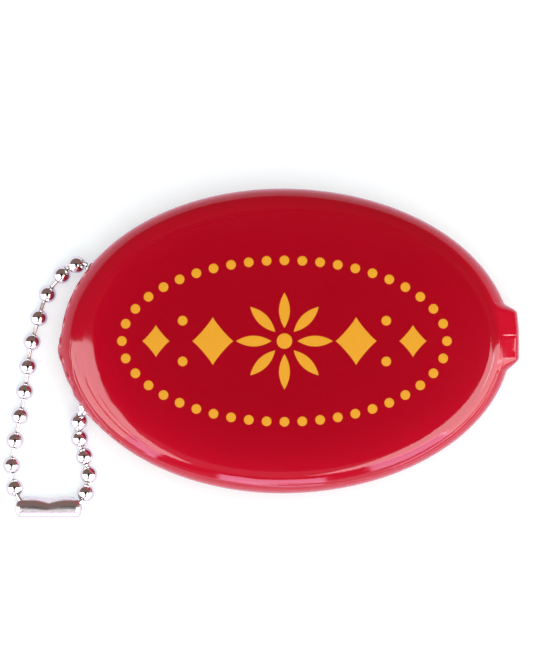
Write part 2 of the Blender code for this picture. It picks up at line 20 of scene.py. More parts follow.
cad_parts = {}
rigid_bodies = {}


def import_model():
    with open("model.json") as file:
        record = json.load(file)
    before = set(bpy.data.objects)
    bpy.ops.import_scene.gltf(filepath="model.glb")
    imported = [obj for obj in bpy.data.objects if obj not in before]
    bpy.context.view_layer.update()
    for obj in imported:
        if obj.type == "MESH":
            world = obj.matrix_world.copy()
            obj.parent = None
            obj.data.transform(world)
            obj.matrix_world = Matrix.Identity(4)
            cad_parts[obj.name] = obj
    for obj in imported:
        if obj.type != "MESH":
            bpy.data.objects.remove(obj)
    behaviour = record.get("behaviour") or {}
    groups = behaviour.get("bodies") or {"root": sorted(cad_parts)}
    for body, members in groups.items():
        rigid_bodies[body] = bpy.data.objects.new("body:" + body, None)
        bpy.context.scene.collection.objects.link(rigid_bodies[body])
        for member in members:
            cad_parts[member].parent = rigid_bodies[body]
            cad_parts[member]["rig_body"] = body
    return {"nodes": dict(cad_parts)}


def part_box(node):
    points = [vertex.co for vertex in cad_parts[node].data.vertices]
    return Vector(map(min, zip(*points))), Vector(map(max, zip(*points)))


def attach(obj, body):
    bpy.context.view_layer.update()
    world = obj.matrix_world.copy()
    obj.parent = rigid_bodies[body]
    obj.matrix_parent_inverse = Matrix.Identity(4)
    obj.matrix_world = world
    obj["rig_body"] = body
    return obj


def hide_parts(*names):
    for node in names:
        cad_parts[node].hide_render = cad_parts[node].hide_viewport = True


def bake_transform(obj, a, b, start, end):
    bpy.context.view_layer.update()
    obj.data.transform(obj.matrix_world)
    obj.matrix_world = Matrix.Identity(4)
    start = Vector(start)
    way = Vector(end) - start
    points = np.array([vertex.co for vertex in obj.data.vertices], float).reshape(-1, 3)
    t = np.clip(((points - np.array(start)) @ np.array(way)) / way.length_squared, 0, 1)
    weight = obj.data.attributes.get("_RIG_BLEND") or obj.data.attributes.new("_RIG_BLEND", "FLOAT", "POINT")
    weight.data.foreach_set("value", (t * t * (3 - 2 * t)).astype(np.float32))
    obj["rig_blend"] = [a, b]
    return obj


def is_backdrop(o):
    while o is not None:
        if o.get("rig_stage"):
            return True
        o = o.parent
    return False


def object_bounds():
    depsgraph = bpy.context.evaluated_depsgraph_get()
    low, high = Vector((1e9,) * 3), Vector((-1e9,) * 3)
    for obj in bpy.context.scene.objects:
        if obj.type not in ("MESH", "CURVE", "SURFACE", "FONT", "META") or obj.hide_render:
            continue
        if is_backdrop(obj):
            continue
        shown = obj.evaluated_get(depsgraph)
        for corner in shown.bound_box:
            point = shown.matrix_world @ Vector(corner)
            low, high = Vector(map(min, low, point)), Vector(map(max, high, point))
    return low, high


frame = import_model()
cad_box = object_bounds()
MM = 0.001
print("nodes:", len(frame["nodes"]))

# %% [markdown]
# ## Where the pouch lies
#
# The pouch is easiest to describe about its own middle, at the level of the table. The packed
# model stands about the middle of the whole object, so that place is read from the shell's box:
# halfway across, and a known reach from the nub at the right end. Both depths are counted from
# the pouch's widest line.

# %% The pouch's sizes and its middle
LEFT_REACH = 39.2 * MM
RIGHT_REACH = 40.7 * MM
HALF_WIDTH = 27.1 * MM
BACK_DEPTH = 6.6 * MM
FRONT_DEPTH = 4.9 * MM
CROWN = 2.0 * MM
BACK_EDGE = 8.0 * MM
WALL = 1.5 * MM
NUB_REACH = 1.4 * MM

shell_low, shell_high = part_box("pouch_shell")
POUCH_MIDDLE = Vector(
    (shell_high.x - RIGHT_REACH - NUB_REACH, (shell_low.y + shell_high.y) / 2, shell_low.z)
)
print("pouch middle, mm:", [round(value / MM, 3) for value in POUCH_MIDDLE])

# %% [markdown]
# ## Colour and node helpers
#
# Colours are written the way a paint chart gives them, as sRGB hex values, and one function turns
# them to the linear numbers that Blender's shaders use. One more function adds any node to a
# material with its settings and links, so that each material below reads as a short list. The
# last one ends every finish here alike: a fine grain moves the gloss and raises the relief.


# %% Colour, node and finish helpers
def linear(hex_colour):
    """Linear RGBA of an sRGB hex colour such as #c0ffee."""
    shares = [int(hex_colour[i : i + 2], 16) / 255 for i in (1, 3, 5)]
    return (*[s / 12.92 if s <= 0.04045 else ((s + 0.055) / 1.055) ** 2.4 for s in shares], 1)


def add_node(tree, kind, settings=None, links=None):
    """Adds a shader node, sets its sockets or properties by name, and links outputs into it.

    A link comes from a node's first output, or from the one named in (node, output).
    """
    node = tree.nodes.new("ShaderNode" + kind)
    for name, value in (settings or {}).items():
        if isinstance(name, int) or name in node.inputs:
            node.inputs[name].default_value = value
        else:
            setattr(node, name, value)
    for name, source in (links or {}).items():
        source, output = source if isinstance(source, tuple) else (source, 0)
        tree.links.new(source.outputs[output], node.inputs[name])
    return node


def new_material(name, **settings):
    """A material with a Principled shader whose even values are set on its own sockets."""
    material = bpy.data.materials.new(name)
    material.use_nodes = True
    tree = material.node_tree
    shader = tree.nodes["Principled BSDF"]
    for socket, value in settings.items():
        shader.inputs[socket.replace("_", " ")].default_value = value
    return material, tree, shader


def finish_surface(tree, shader, tint, grain, roughness, bump):
    """Colour from the tint, and from the grain a roughness range and a bump (strength, depth)."""
    ends = {"To Min": roughness[0], "To Max": roughness[1]}
    gloss = add_node(tree, "MapRange", ends, {"Value": grain})
    relief = add_node(tree, "Bump", {"Strength": bump[0], "Distance": bump[1]}, {"Height": grain})
    tree.links.new(tint.outputs[2], shader.inputs["Base Color"])
    tree.links.new(gloss.outputs["Result"], shader.inputs["Roughness"])
    tree.links.new(relief.outputs["Normal"], shader.inputs["Normal"])


print("a mid grey of #808080 is", round(linear("#808080")[0], 3), "in linear light")

# %% [markdown]
# ## Dip-moulded vinyl
#
# The pouch is plasticised PVC. A hot metal form is dipped in liquid vinyl, which gels on it and
# drains off at one end. That gives the eye a wet-looking gloss, a deep even red, and faint runs
# along the way the liquid drained, seen only where a lamp is reflected. So the colour is a nearly
# flat deep red, the roughness is low, and the bump is a noise stretched along the rim. Painted
# light makes the red a little lighter towards the near side and the left end, out near the edge
# and round the rim, and a faint random cloud of the vinyl's own tone lies on top. The mesh carries
# its real millimetres as UV coordinates, U along the rim and V across it, which keeps the runs on
# the contour wherever it turns.

# %% Vinyl material
# The lighter red carries painted light, and with it a little of the vinyl's own random tone
VINYL_DEEP = linear("#a90017")
VINYL_PALE_AND_LIT = linear("#dd002b")
VINYL_SHEEN = linear("#fff6ff")
VINYL_IOR = 1.48
VINYL_ROUGHNESS = (0.045, 0.11)
VINYL_BUMP = (0.45, 0.02 * MM)
# Painted light: lightness grows with the fourth power of the place out from the middle, most at
# the near side and least at the far side, and more again round the rim
EVEN_SHARE = 0.5
SIDE_SHARES = (-0.2, -0.5, 0)
RIM_SHARE = 0.45
RIM_BAND = (0.9, 1.0)
RUN_SPACING_MM = 0.55
RUN_LENGTH_MM = 14.0
CLOUD_SIZE_MM = 18.0
CLOUD_SHARE = 0.1


def make_vinyl():
    material, tree, shader = new_material(
        "dip_moulded_vinyl", IOR=VINYL_IOR, Specular_Tint=VINYL_SHEEN
    )
    place = add_node(tree, "TexCoord")
    cloud_settings = {"Scale": 1 / (CLOUD_SIZE_MM * MM), "Detail": 2.0}
    clouds = add_node(tree, "TexNoise", cloud_settings, {"Vector": (place, "Object")})
    scale = Vector((1 / LEFT_REACH, 1 / HALF_WIDTH, 0))
    from_middle = {"Scale": scale, "Location": -POUCH_MIDDLE * scale}
    across_oval = add_node(tree, "Mapping", from_middle, {"Vector": (place, "Object")})
    dot = {"operation": "DOT_PRODUCT"}
    outness = add_node(tree, "VectorMath", dot, {0: across_oval, 1: across_oval})
    sideways = add_node(tree, "VectorMath", {**dot, 1: SIDE_SHARES}, {0: across_oval})
    squared = add_node(tree, "Math", {"operation": "POWER", 1: 2.0}, {0: (outness, "Value")})
    lit_side_share = add_node(
        tree, "Math", {"operation": "ADD", 1: EVEN_SHARE}, {0: (sideways, "Value")}
    )
    band = {"From Min": RIM_BAND[0], "From Max": RIM_BAND[1], "To Max": RIM_SHARE}
    rim = add_node(
        tree,
        "MapRange",
        {"interpolation_type": "SMOOTHSTEP", **band},
        {"Value": (outness, "Value")},
    )
    times_plus = {"operation": "MULTIPLY_ADD"}
    # Painted light: the red grows lighter out from the middle, towards the near side and round the rim
    painted_light_share = add_node(tree, "Math", times_plus, {0: squared, 1: lit_side_share, 2: rim})
    drift_settings = {**times_plus, 1: CLOUD_SHARE, 2: -CLOUD_SHARE / 2}
    drift = add_node(tree, "Math", drift_settings, {0: clouds})
    clamped_sum = {"operation": "ADD", "use_clamp": True}
    share = add_node(tree, "Math", clamped_sum, {0: painted_light_share, 1: drift})
    reds = {"data_type": "RGBA", 6: VINYL_DEEP, 7: VINYL_PALE_AND_LIT}
    tint = add_node(tree, "Mix", reds, {0: share})
    run_scale = {"Scale": (1 / RUN_LENGTH_MM, 1 / RUN_SPACING_MM, 1)}
    runs_place = add_node(tree, "Mapping", run_scale, {"Vector": (place, "UV")})
    run_settings = {"Scale": 1.0, "Detail": 3.0, "Roughness": 0.55}
    runs = add_node(tree, "TexNoise", run_settings, {"Vector": runs_place})
    finish_surface(tree, shader, tint, runs, VINYL_ROUGHNESS, VINYL_BUMP)
    return material


vinyl = make_vinyl()
print("vinyl:", len(vinyl.node_tree.nodes), "nodes, runs", RUN_SPACING_MM, "mm apart")

# %% [markdown]
# ## Nickel plate, steel wire and screen ink
#
# The balls and the sleeve are stamped from thin steel strip, barrel polished and nickel plated.
# Nickel is a slightly warm grey metal. Barrel polishing leaves it bright, with hair-fine random
# scratches that soften the mirror a little. The links are drawn wire, a touch duller, with marks
# along their length. The ink is a matt yellow vinyl ink, pushed through a mesh, which leaves a
# fine grain that is drawn here a little coarser than the real mesh so that it shows. A scratch
# map could draw each mark, but at this size a stretched noise gives the same soft mirror.

# %% Metal and ink materials
NICKEL = linear("#e6e5e5")
METAL_SHADE = linear("#cfcdcd")
WIRE = linear("#d2cecb")
NICKEL_ROUGHNESS = (0.09, 0.16)
STRIP_ROUGHNESS = (0.18, 0.3)
WIRE_ROUGHNESS = (0.28, 0.4)
METAL_BUMP = (0.05, 0.01 * MM)
SCRATCH_MM = 0.12
WIRE_MARK_MM = 0.05
MARK_STRETCH = 12
INK_YELLOW = linear("#f0ab1c")
INK_SHADE = linear("#e39a18")
INK_SPECULAR = 0.15
INK_ROUGHNESS = (0.6, 0.8)
INK_BUMP = (0.3, 0.02 * MM)
INK_GRAIN_MM = 0.22


def make_metal(name, light, grain_scale, roughness):
    """A plated or drawn metal: noise moves its colour and roughness a little."""
    material, tree, shader = new_material(name, Metallic=1.0)
    place = add_node(tree, "TexCoord")
    scale = {"Scale": grain_scale}
    grain_place = add_node(tree, "Mapping", scale, {"Vector": (place, "Object")})
    grain_settings = {"Scale": 1.0, "Detail": 4.0, "Roughness": 0.6}
    grain = add_node(tree, "TexNoise", grain_settings, {"Vector": grain_place})
    tint = add_node(tree, "Mix", {"data_type": "RGBA", 6: METAL_SHADE, 7: light}, {0: grain})
    finish_surface(tree, shader, tint, grain, roughness, METAL_BUMP)
    return material


def make_ink():
    material, tree, shader = new_material(
        "screen_printed_ink", IOR=VINYL_IOR, Specular_IOR_Level=INK_SPECULAR
    )
    place = add_node(tree, "TexCoord")
    grain_settings = {"Scale": 1 / (INK_GRAIN_MM * MM), "Detail": 3.0}
    grain = add_node(tree, "TexNoise", grain_settings, {"Vector": (place, "Object")})
    yellows = {"data_type": "RGBA", 6: INK_SHADE, 7: INK_YELLOW}
    tint = add_node(tree, "Mix", yellows, {0: grain})
    finish_surface(tree, shader, tint, grain, INK_ROUGHNESS, INK_BUMP)
    return material


fine = 1 / (SCRATCH_MM * MM)
across_wire = 1 / (WIRE_MARK_MM * MM)
ball_scale = (fine, fine, fine)
strip_scale = (fine / MARK_STRETCH, fine, fine)
wire_scale = (across_wire, across_wire, across_wire / MARK_STRETCH)
nickel = make_metal("barrel_polished_nickel", NICKEL, ball_scale, NICKEL_ROUGHNESS)
strip_nickel = make_metal("stamped_nickel_strip", NICKEL, strip_scale, STRIP_ROUGHNESS)
steel_wire = make_metal("drawn_steel_wire", WIRE, wire_scale, WIRE_ROUGHNESS)
ink = make_ink()
print("materials:", [material.name for material in bpy.data.materials])

# %% [markdown]
# ## Mesh helpers
#
# Most pieces are rings of points joined by quads: a turned ball, a sleeve, or the pouch's skin,
# whose rings run round its oval. Modifiers could turn or sweep such shapes too, but with the
# points in hand each ring can bulge or sink where the real one does. These functions make the
# quads, the mesh with its outward faces and crisp edges, and the object.


# %% Ring, mesh and object helpers
def ring_quads(rings, sides, closed=False):
    """Quads between rings of points; closed joins the last ring to the first."""
    faces = []
    for ring in range(rings if closed else rings - 1):
        low, high = ring * sides, (ring + 1) % rings * sides
        for side in range(sides):
            after = (side + 1) % sides
            faces.append((low + side, low + after, high + after, high + side))
    return faces


def turned(profile, sides):
    """Points and faces of a (radius, height) profile turned about Z, with its ends capped."""
    points = [
        Vector((radius * math.cos(turn), radius * math.sin(turn), height))
        for radius, height in profile
        for turn in np.linspace(0, math.tau, sides, endpoint=False)
    ]
    caps = [tuple(range(sides)), tuple(range(len(points) - sides, len(points)))]
    return points, ring_quads(len(profile), sides) + caps


def new_mesh(name, points, faces, material, uvs=None, sharp_degrees=50):
    """A smooth mesh with outward faces; uvs holds one pair for each point."""
    mesh = bpy.data.meshes.new(name)
    mesh.from_pydata([tuple(point) for point in points], [], faces)
    if uvs is not None:
        layer = mesh.uv_layers.new(name="rim_mm")
        corners = np.array([loop.vertex_index for loop in mesh.loops])
        layer.data.foreach_set("uv", np.asarray(uvs, np.float32)[corners].ravel())
    work = bmesh.new()
    work.from_mesh(mesh)
    bmesh.ops.recalc_face_normals(work, faces=work.faces)
    work.to_mesh(mesh)
    work.free()
    mesh.materials.append(material)
    smooth(mesh, sharp_degrees)
    return mesh


def smooth(mesh, sharp_degrees):
    mesh.shade_smooth()
    mesh.set_sharp_from_angle(angle=math.radians(sharp_degrees))


def add_object(name, data):
    thing = bpy.data.objects.new(name, data)
    bpy.context.collection.objects.link(thing)
    return thing


def cut(piece, cutter, sharp_degrees):
    """Takes the cutter's shape out of the piece and deletes the cutter."""
    bpy.context.view_layer.update()
    modifier = piece.modifiers.new("cut", "BOOLEAN")
    modifier.object = cutter
    modifier.operation = "DIFFERENCE"
    evaluated = piece.evaluated_get(bpy.context.evaluated_depsgraph_get())
    mesh = bpy.data.meshes.new_from_object(evaluated)
    piece.modifiers.clear()
    piece.data = mesh
    smooth(mesh, sharp_degrees)
    bpy.data.objects.remove(cutter)


print("a ring of 8 and its neighbour make", len(ring_quads(2, 8)), "quads")

# %% [markdown]
# ## The vinyl skin
#
# Seen from above the pouch is two half ovals. In section its edge is a quarter of an ellipse
# below the widest line and a tighter shoulder above it, and a low crown covers the face. The form
# that it was dipped on leaves its marks: a bead along the shoulder, draw lines beside it, a thin
# uneven edge at the left end where it was trimmed, and a nub at the right end where the liquid
# drained off. A bump map could carry the finest of them, but all are real shape here, because a
# glossy surface shows every one, and a bump map would be lost at the outline.
#
# Marks are placed by how far round the oval they lie, in degrees from its right end, and by how
# far in from the outline. A short table of given places is eased from row to row.

# %% Where the marks lie
# Rows are degrees and millimetres in from the outline
BEAD_INSET_MM = (
    (0, 2.0), (40, 3.15), (63, 3.55), (85, 3.95), (110, 4.6), (137, 4.2), (153, 4.0),
    (170, 2.7), (178, 2.25), (186, 1.72), (196, 1.26), (206, 1.15), (216, 0.9), (226, 0.8),
    (234, 1.4), (255, 1.6), (275, 1.35), (300, 1.0), (325, 1.1), (348, 1.5),
)
# Rows are degrees and shares of the bead's full height
BEAD_SHARE = (
    (0, 0.5), (20, 0.35), (42, 0.6), (60, 0.8), (90, 0.5), (120, 0.8), (150, 0.9),
    (158, 0), (176, 0), (183, 0.9), (240, 1.0), (300, 0.8), (345, 0.9),
)
BEAD_HEIGHT_MM = 0.042
BEAD_HALF_WIDTH_MM = 0.09
GROOVE_SHARE = 0.55
GROOVE_OFFSET_MM = 0.19
# Width of the shoulder in millimetres, and how much squarer than an ellipse its section is
SHOULDER_MM = (
    (0, 4.1), (100, 4.1), (140, 4.7), (160, 5.7), (180, 6.3), (198, 6.4), (212, 6.1),
    (226, 5.3), (246, 4.2), (275, 4.1),
)
SQUARENESS = (
    (20, 0), (50, 0.5), (125, 0.5), (158, 0), (188, 0.05), (208, 0.5), (228, 0.5),
    (248, 0.05), (270, 0),
)
TRIM_REACH_MM = 0.8
TRIM_DROP_MM = 0.9
TRIM_STEEPNESS = 2.2
TRIM_SHARE = (
    (0, 0), (150, 0), (165, 0.06), (176, 0.12), (180, 0.6), (183.5, 1.0), (186, 0.9),
    (188.5, 0.55), (194, 0.45), (198, 0.2), (200.5, 0.5), (205, 0.15), (208, 0.3),
    (214, 0.05), (220, 0),
)
# Draw lines: degrees at both ends, insets there, height and half width in millimetres
DRAW_LINES = (
    (190, 237, 3.20, 2.20, -0.075, 0.11),
    (199, 241, 4.05, 2.20, 0.030, 0.09),
    (196, 223, 0.55, 0.35, -0.045, 0.08),
    (201, 219, 0.27, 0.18, -0.035, 0.06),
    (182, 205, 2.60, 2.40, 0.020, 0.07),
    (183, 200, 3.90, 3.60, -0.020, 0.07),
    (183, 197, 4.70, 4.60, 0.018, 0.09),
    (290, 352, 1.25, 1.90, -0.060, 0.09),
    (318, 344, 3.10, 2.90, 0.010, 0.10),
    (258, 284, 2.10, 2.00, 0.010, 0.10),
    (24, 33, 3.05, 2.50, 0.045, 0.07),
    (8, 15, 2.75, 2.62, 0.030, 0.06),
)
FADE_IN_SHARE = 0.2
FADE_OUT_SHARE = 0.35


def smooth_step(share):
    share = np.clip(share, 0, 1)
    return share * share * (3 - 2 * share)


def round_table(table, degrees):
    """Values at these degrees of a table of (degrees, value) that closes on itself."""
    places, values = np.array([*table, (table[0][0] + 360, table[0][1])], float).T
    turned_to = (degrees - places[0]) % 360 + places[0]
    row = np.searchsorted(places, turned_to, side="right") - 1
    share = (turned_to - places[row]) / (places[row + 1] - places[row])
    return values[row] + (values[row + 1] - values[row]) * smooth_step(share)


print("bead inset above the left hole:", float(round_table(BEAD_INSET_MM, np.array(153.0))), "mm")

# %% [markdown]
# Heights of all marks are summed and pushed out along the surface, a bell curve across each line.
# The bead has a groove along its outer side, where the vinyl was drawn in as it gelled.


# %% Relief of the marks
def bell(distance, half_width):
    return np.exp(-((distance / half_width) ** 2))


def relief_mm(degrees, inset_mm):
    """Height of the marks above the plain surface, on a grid of degrees and insets."""
    bead_off = inset_mm - round_table(BEAD_INSET_MM, degrees)
    bead = bell(bead_off, BEAD_HALF_WIDTH_MM)
    groove = bell(bead_off + GROOVE_OFFSET_MM, BEAD_HALF_WIDTH_MM) * GROOVE_SHARE
    relief = BEAD_HEIGHT_MM * round_table(BEAD_SHARE, degrees) * (bead - groove)
    for start, end, start_inset, end_inset, height, half_width in DRAW_LINES:
        along = (degrees - start) / (end - start)
        fade = smooth_step(along / FADE_IN_SHARE) * smooth_step((1 - along) / FADE_OUT_SHARE)
        line_off = inset_mm - (start_inset + (end_inset - start_inset) * along)
        relief = relief + height * fade * bell(line_off, half_width)
    return relief


print("relief of the bead, mm:", float(relief_mm(np.array(240.0), np.array(1.52)).round(3)))


# %% Sections of the skin
def outline(angles):
    """Points of the oval and its outward directions there, as rows of x and y."""
    reach = np.where(np.cos(angles) > 0, RIGHT_REACH, LEFT_REACH)
    rim = np.stack([reach * np.cos(angles), HALF_WIDTH * np.sin(angles)], axis=-1)
    outward = np.stack([np.cos(angles) / reach, np.sin(angles) / HALF_WIDTH], axis=-1)
    return rim, outward / np.linalg.norm(outward, axis=-1, keepdims=True)


def shoulder_width(angles):
    """Width of the face's rounded edge, which is wider round the left end."""
    return round_table(SHOULDER_MM, np.degrees(angles)) * MM


def crown(points):
    """Rise of the face, from none at the outline to all of it in the middle."""
    reach = np.where(points[..., 0] > 0, RIGHT_REACH, LEFT_REACH)
    far_share = (points[..., 0] / reach) ** 2 + (points[..., 1] / HALF_WIDTH) ** 2
    return CROWN * np.maximum(1 - far_share, 0)


def edge_section(angles, turns, width, depth, side, offset=0.0):
    """Points of the edge at these turns from its widest line: side is 1 above it, -1 below."""
    rim, outward = outline(angles)
    inset = width - (width - offset) * np.cos(turns)
    flat = rim - outward * inset[..., None]
    height = BACK_DEPTH + side * (depth - offset) * np.sin(turns)
    if side > 0:
        height = height + crown(flat)
    return np.concatenate([flat, height[..., None]], axis=-1), inset


print("shoulder at the left end, mm:", shoulder_width(np.array(math.pi)) / MM)

# %% [markdown]
# The nub is a blend between two sections: the plain rim, and one that leaves the shoulder, runs
# out on an even slope and rounds down to an upright end face. How far the blend has gone depends
# on the place across the pouch, so its flanks run out into the oval as fillets. A fine crease
# crosses it, and beside the crease its top tips down a little, as a facet.

# %% The nub
NUB_ROOT_INSET = 2.3 * MM
NUB_TOP_RISE = 3.3 * MM
NUB_UNDER_FALL = 2.2 * MM
NUB_CORNER_POWER = 12
# Places across the pouch where each flank starts and ends
NUB_FLANKS_MM = ((6.9, 5.0), (-5.6, -2.9))
# The end face is level at the near side, and half follows the oval at the far side
NUB_FAR_LEVEL_SHARE = 0.5
NUB_CREASE_PLACE_MM = 0.9
NUB_CREASE_HALF_WIDTH_MM = 0.13
NUB_CREASE_DEPTH = 0.04 * MM
NUB_FACET_PLACE_MM = 0.7
NUB_FACET_WIDTH_MM = 2.5
NUB_FACET_SLOPE = 0.07


def nub_share(across_mm):
    """How far the section has turned into the nub's at this place across the pouch."""
    share = 1.0
    for outer, inner in NUB_FLANKS_MM:
        share = share * smooth_step((across_mm - outer) / (inner - outer))
    return share


def nub_section(points, inset, turns, width, depth, side):
    """Moves the points of the plain edge towards the nub's section."""
    root_turn = math.acos(1 - NUB_ROOT_INSET / width)
    run = np.clip(1 - turns / root_turn, 0, 1) ** 2 * (math.pi / 2)
    out_share = np.sqrt(np.sin(run))
    end_rise = NUB_TOP_RISE if side > 0 else NUB_UNDER_FALL
    root_rise = depth * math.sin(root_turn)
    rise = end_rise * np.sqrt(1 - out_share**NUB_CORNER_POWER)
    rise += (root_rise - end_rise) * (1 - out_share)
    nub_inset = NUB_ROOT_INSET - out_share * (NUB_ROOT_INSET + NUB_REACH)
    across_mm = points[..., 1] / MM
    crease = bell(across_mm - NUB_CREASE_PLACE_MM, NUB_CREASE_HALF_WIDTH_MM)
    crease *= NUB_CREASE_DEPTH * smooth_step(out_share * 2)
    share = np.where((points[..., 0] > 0) & (turns < root_turn), nub_share(across_mm), 0)
    push = (inset - nub_inset - crease) * share
    oval_share = np.sqrt(1 - np.minimum((points[..., 1] / HALF_WIDTH) ** 2, 1))
    level_out = RIGHT_REACH * (1 - oval_share) * np.where(across_mm > 0, NUB_FAR_LEVEL_SHARE, 1)
    points[..., 0] += push + level_out * share * (1 - (1 - out_share) ** 3)
    fall = np.clip(NUB_FACET_PLACE_MM - across_mm, 0, NUB_FACET_WIDTH_MM) * NUB_FACET_SLOPE * MM
    nub_rise = rise - crease - fall * out_share**3
    points[..., 2] += side * (nub_rise - depth * np.sin(turns)) * share
    return points


print("the nub is", round(NUB_FLANKS_MM[0][0] - NUB_FLANKS_MM[1][0], 1), "mm across its root")

# %% [markdown]
# The rings are close together over all of the shoulder, because its marks are only a tenth of a
# millimetre wide. The columns are close together across the nub. Past the shoulder the rings
# shrink evenly to the middle of the face. Under the pouch they stop at a rounded window, whose
# edge is the line where the two lips begin to bend.

# %% Rings and columns of the skin
NUB_DEGREES = 16
NUB_COLUMNS = 100
OVAL_COLUMNS = 330
column_degrees = np.concatenate(
    [
        np.linspace(0, NUB_DEGREES, NUB_COLUMNS, endpoint=False),
        np.linspace(NUB_DEGREES, 360 - NUB_DEGREES, OVAL_COLUMNS, endpoint=False),
        np.linspace(360 - NUB_DEGREES, 360, NUB_COLUMNS, endpoint=False),
    ]
)
columns = np.radians(column_degrees)
BACK_RINGS = 26
INNER_RINGS = 26
FACE_RINGS = 16
FINE_MM = (0.2, 4.8)
COARSE_MM = (4.88, 7.0)
insets_mm = (
    FINE_MM[0] * np.linspace(0, 1, 14, endpoint=False) ** 2,
    np.linspace(*FINE_MM, 116),
    np.linspace(*COARSE_MM, 22),
)
SHOULDER_INSETS = np.concatenate(insets_mm) * MM
WINDOW_HALF_LENGTH = 29.2 * MM
WINDOW_HALF_WIDTH = 16.65 * MM
WINDOW_SHIFT = 1.8 * MM
WINDOW_SQUARENESS = 2.3
SKIN_SHARP_DEGREES = 60


def trim(points, angles, turns):
    """Flares the thin edge at the left end, where the moulding was trimmed."""
    _, outward = outline(angles)
    near_rim = np.cos(np.minimum(turns * TRIM_STEEPNESS, math.pi / 2)) ** 2
    share = round_table(TRIM_SHARE, np.degrees(angles)) * near_rim * MM
    points[..., :2] += outward * (TRIM_REACH_MM * share)[..., None]
    points[..., 2] -= TRIM_DROP_MM * share
    return points


def back_rings():
    angles, turns = np.meshgrid(columns, np.linspace(math.pi / 2, 0, BACK_RINGS, endpoint=False))
    points, inset = edge_section(angles, turns, BACK_EDGE, BACK_DEPTH, -1)
    points = nub_section(points, inset, turns, BACK_EDGE, BACK_DEPTH, -1)
    return trim(points, angles, turns)


def front_rings():
    angles, insets = np.meshgrid(columns, SHOULDER_INSETS)
    width = shoulder_width(angles)
    turns = np.arccos(np.clip(1 - insets / width, 0, 1))
    rim, outward = outline(angles)
    flat = rim - outward * insets[..., None]
    power = 2 + round_table(SQUARENESS, np.degrees(angles))
    rise = FRONT_DEPTH * (1 - np.cos(turns) ** power) ** (1 / power)
    height = BACK_DEPTH + rise + crown(flat)
    points = np.concatenate([flat, height[..., None]], axis=-1)
    nub_width = float(shoulder_width(np.array(0.0)))
    points = nub_section(points, insets, turns, nub_width, FRONT_DEPTH, 1)
    points = trim(points, angles, turns)
    relief = relief_mm(np.degrees(angles), insets / MM) * MM
    tilt = np.arctan2(FRONT_DEPTH * np.cos(turns), width * np.sin(turns))
    points[..., :2] += outward * (relief * np.sin(tilt))[..., None]
    points[..., 2] += relief * np.cos(tilt)
    return points


def face_rings(last, top):
    """Rings that shrink from the shoulder's last one to the middle of the face."""
    shares = np.linspace(1, 0, FACE_RINGS + 1)[1:, None, None]
    level = np.full((FACE_RINGS, len(columns), 1), top)
    points = np.concatenate([last[None, :, :2] * shares, level], 2)
    points[..., 2] += crown(points)
    return points[:-1], points[-1, 0]


def window_ring(height):
    """Ring of points on the line round the mouth where the lips begin to bend."""
    cos, sin = np.cos(columns), np.sin(columns)
    power = 2 / WINDOW_SQUARENESS
    x = WINDOW_SHIFT + WINDOW_HALF_LENGTH * np.sign(cos) * np.abs(cos) ** power
    y = WINDOW_HALF_WIDTH * np.sign(sin) * np.abs(sin) ** power
    return np.stack([x, y, np.full(len(columns), height)], axis=-1)


def outer_skin():
    front = front_rings()
    face, pole = face_rings(front[-1], BACK_DEPTH + FRONT_DEPTH)
    return np.concatenate([window_ring(0)[None], back_rings(), front, face]), pole


def inner_skin():
    angles, turns = np.meshgrid(columns, np.linspace(math.pi / 2, 0, INNER_RINGS))
    low, _ = edge_section(angles, turns, BACK_EDGE, BACK_DEPTH, -1, WALL)
    angles, turns = angles[1:], turns[::-1][1:]
    high, _ = edge_section(angles, turns, shoulder_width(angles), FRONT_DEPTH, 1, WALL)
    face, pole = face_rings(high[-1], BACK_DEPTH + FRONT_DEPTH - WALL)
    return np.concatenate([window_ring(WALL)[None], low, high, face]), pole


outer, outer_pole = outer_skin()
inner, inner_pole = inner_skin()
print("skin:", len(columns), "columns,", len(outer), "outer and", len(inner), "inner rings")

# %% [markdown]
# The outer rings, from the middle of the face down and under to the window, and the inner rings
# back up again make one closed wall. A fan of triangles closes each middle. The lengths along and
# across the rings become the UV coordinates that the vinyl's runs follow.


# %% The shell
def rim_lengths(rings):
    """U along the widest ring and V across the rings, in millimetres."""
    widest = rings[BACK_RINGS + 1]
    steps = np.linalg.norm(np.diff(widest, axis=0), axis=1) / MM
    along = np.concatenate([[0], np.cumsum(steps)])
    across = np.cumsum(np.linalg.norm(np.diff(rings, axis=0), axis=2) / MM, axis=0)
    across = np.concatenate([np.zeros((1, len(along))), across])
    return np.stack([np.broadcast_to(along, across.shape), across], axis=-1)


def make_shell():
    rings = np.concatenate([outer[::-1], inner])
    sides = len(columns)
    points = np.concatenate([rings.reshape(-1, 3), [outer_pole, inner_pole]])
    faces = ring_quads(len(rings), sides)
    outer_middle, inner_middle = len(points) - 2, len(points) - 1
    last = (len(rings) - 1) * sides
    for side in range(sides):
        after = (side + 1) % sides
        faces.append((outer_middle, side, after))
        faces.append((inner_middle, last + side, last + after))
    outer_uvs, inner_uvs = rim_lengths(outer), rim_lengths(inner)
    uvs = np.concatenate([outer_uvs[::-1], inner_uvs]).reshape(-1, 2)
    uvs = np.concatenate([uvs, [outer_uvs[-1, 0], inner_uvs[-1, 0]]])
    points += np.array(POUCH_MIDDLE)
    mesh = new_mesh("pouch_skin", points, faces, vinyl, uvs, SKIN_SHARP_DEGREES)
    return add_object("pouch_skin", mesh)


pouch_skin = make_shell()
print("pouch skin:", len(pouch_skin.data.polygons), "faces")

# %% [markdown]
# ## Holes for the chain
#
# Two round holes are punched through the side wall near the left end. Rings could be laid out
# around them, but a Boolean cut is simpler and leaves the skin's fine rows alone. The cutter is a
# turned shape that flares at its outer end, so that the hole's edge is softly rounded, as a
# punched edge in soft vinyl is.

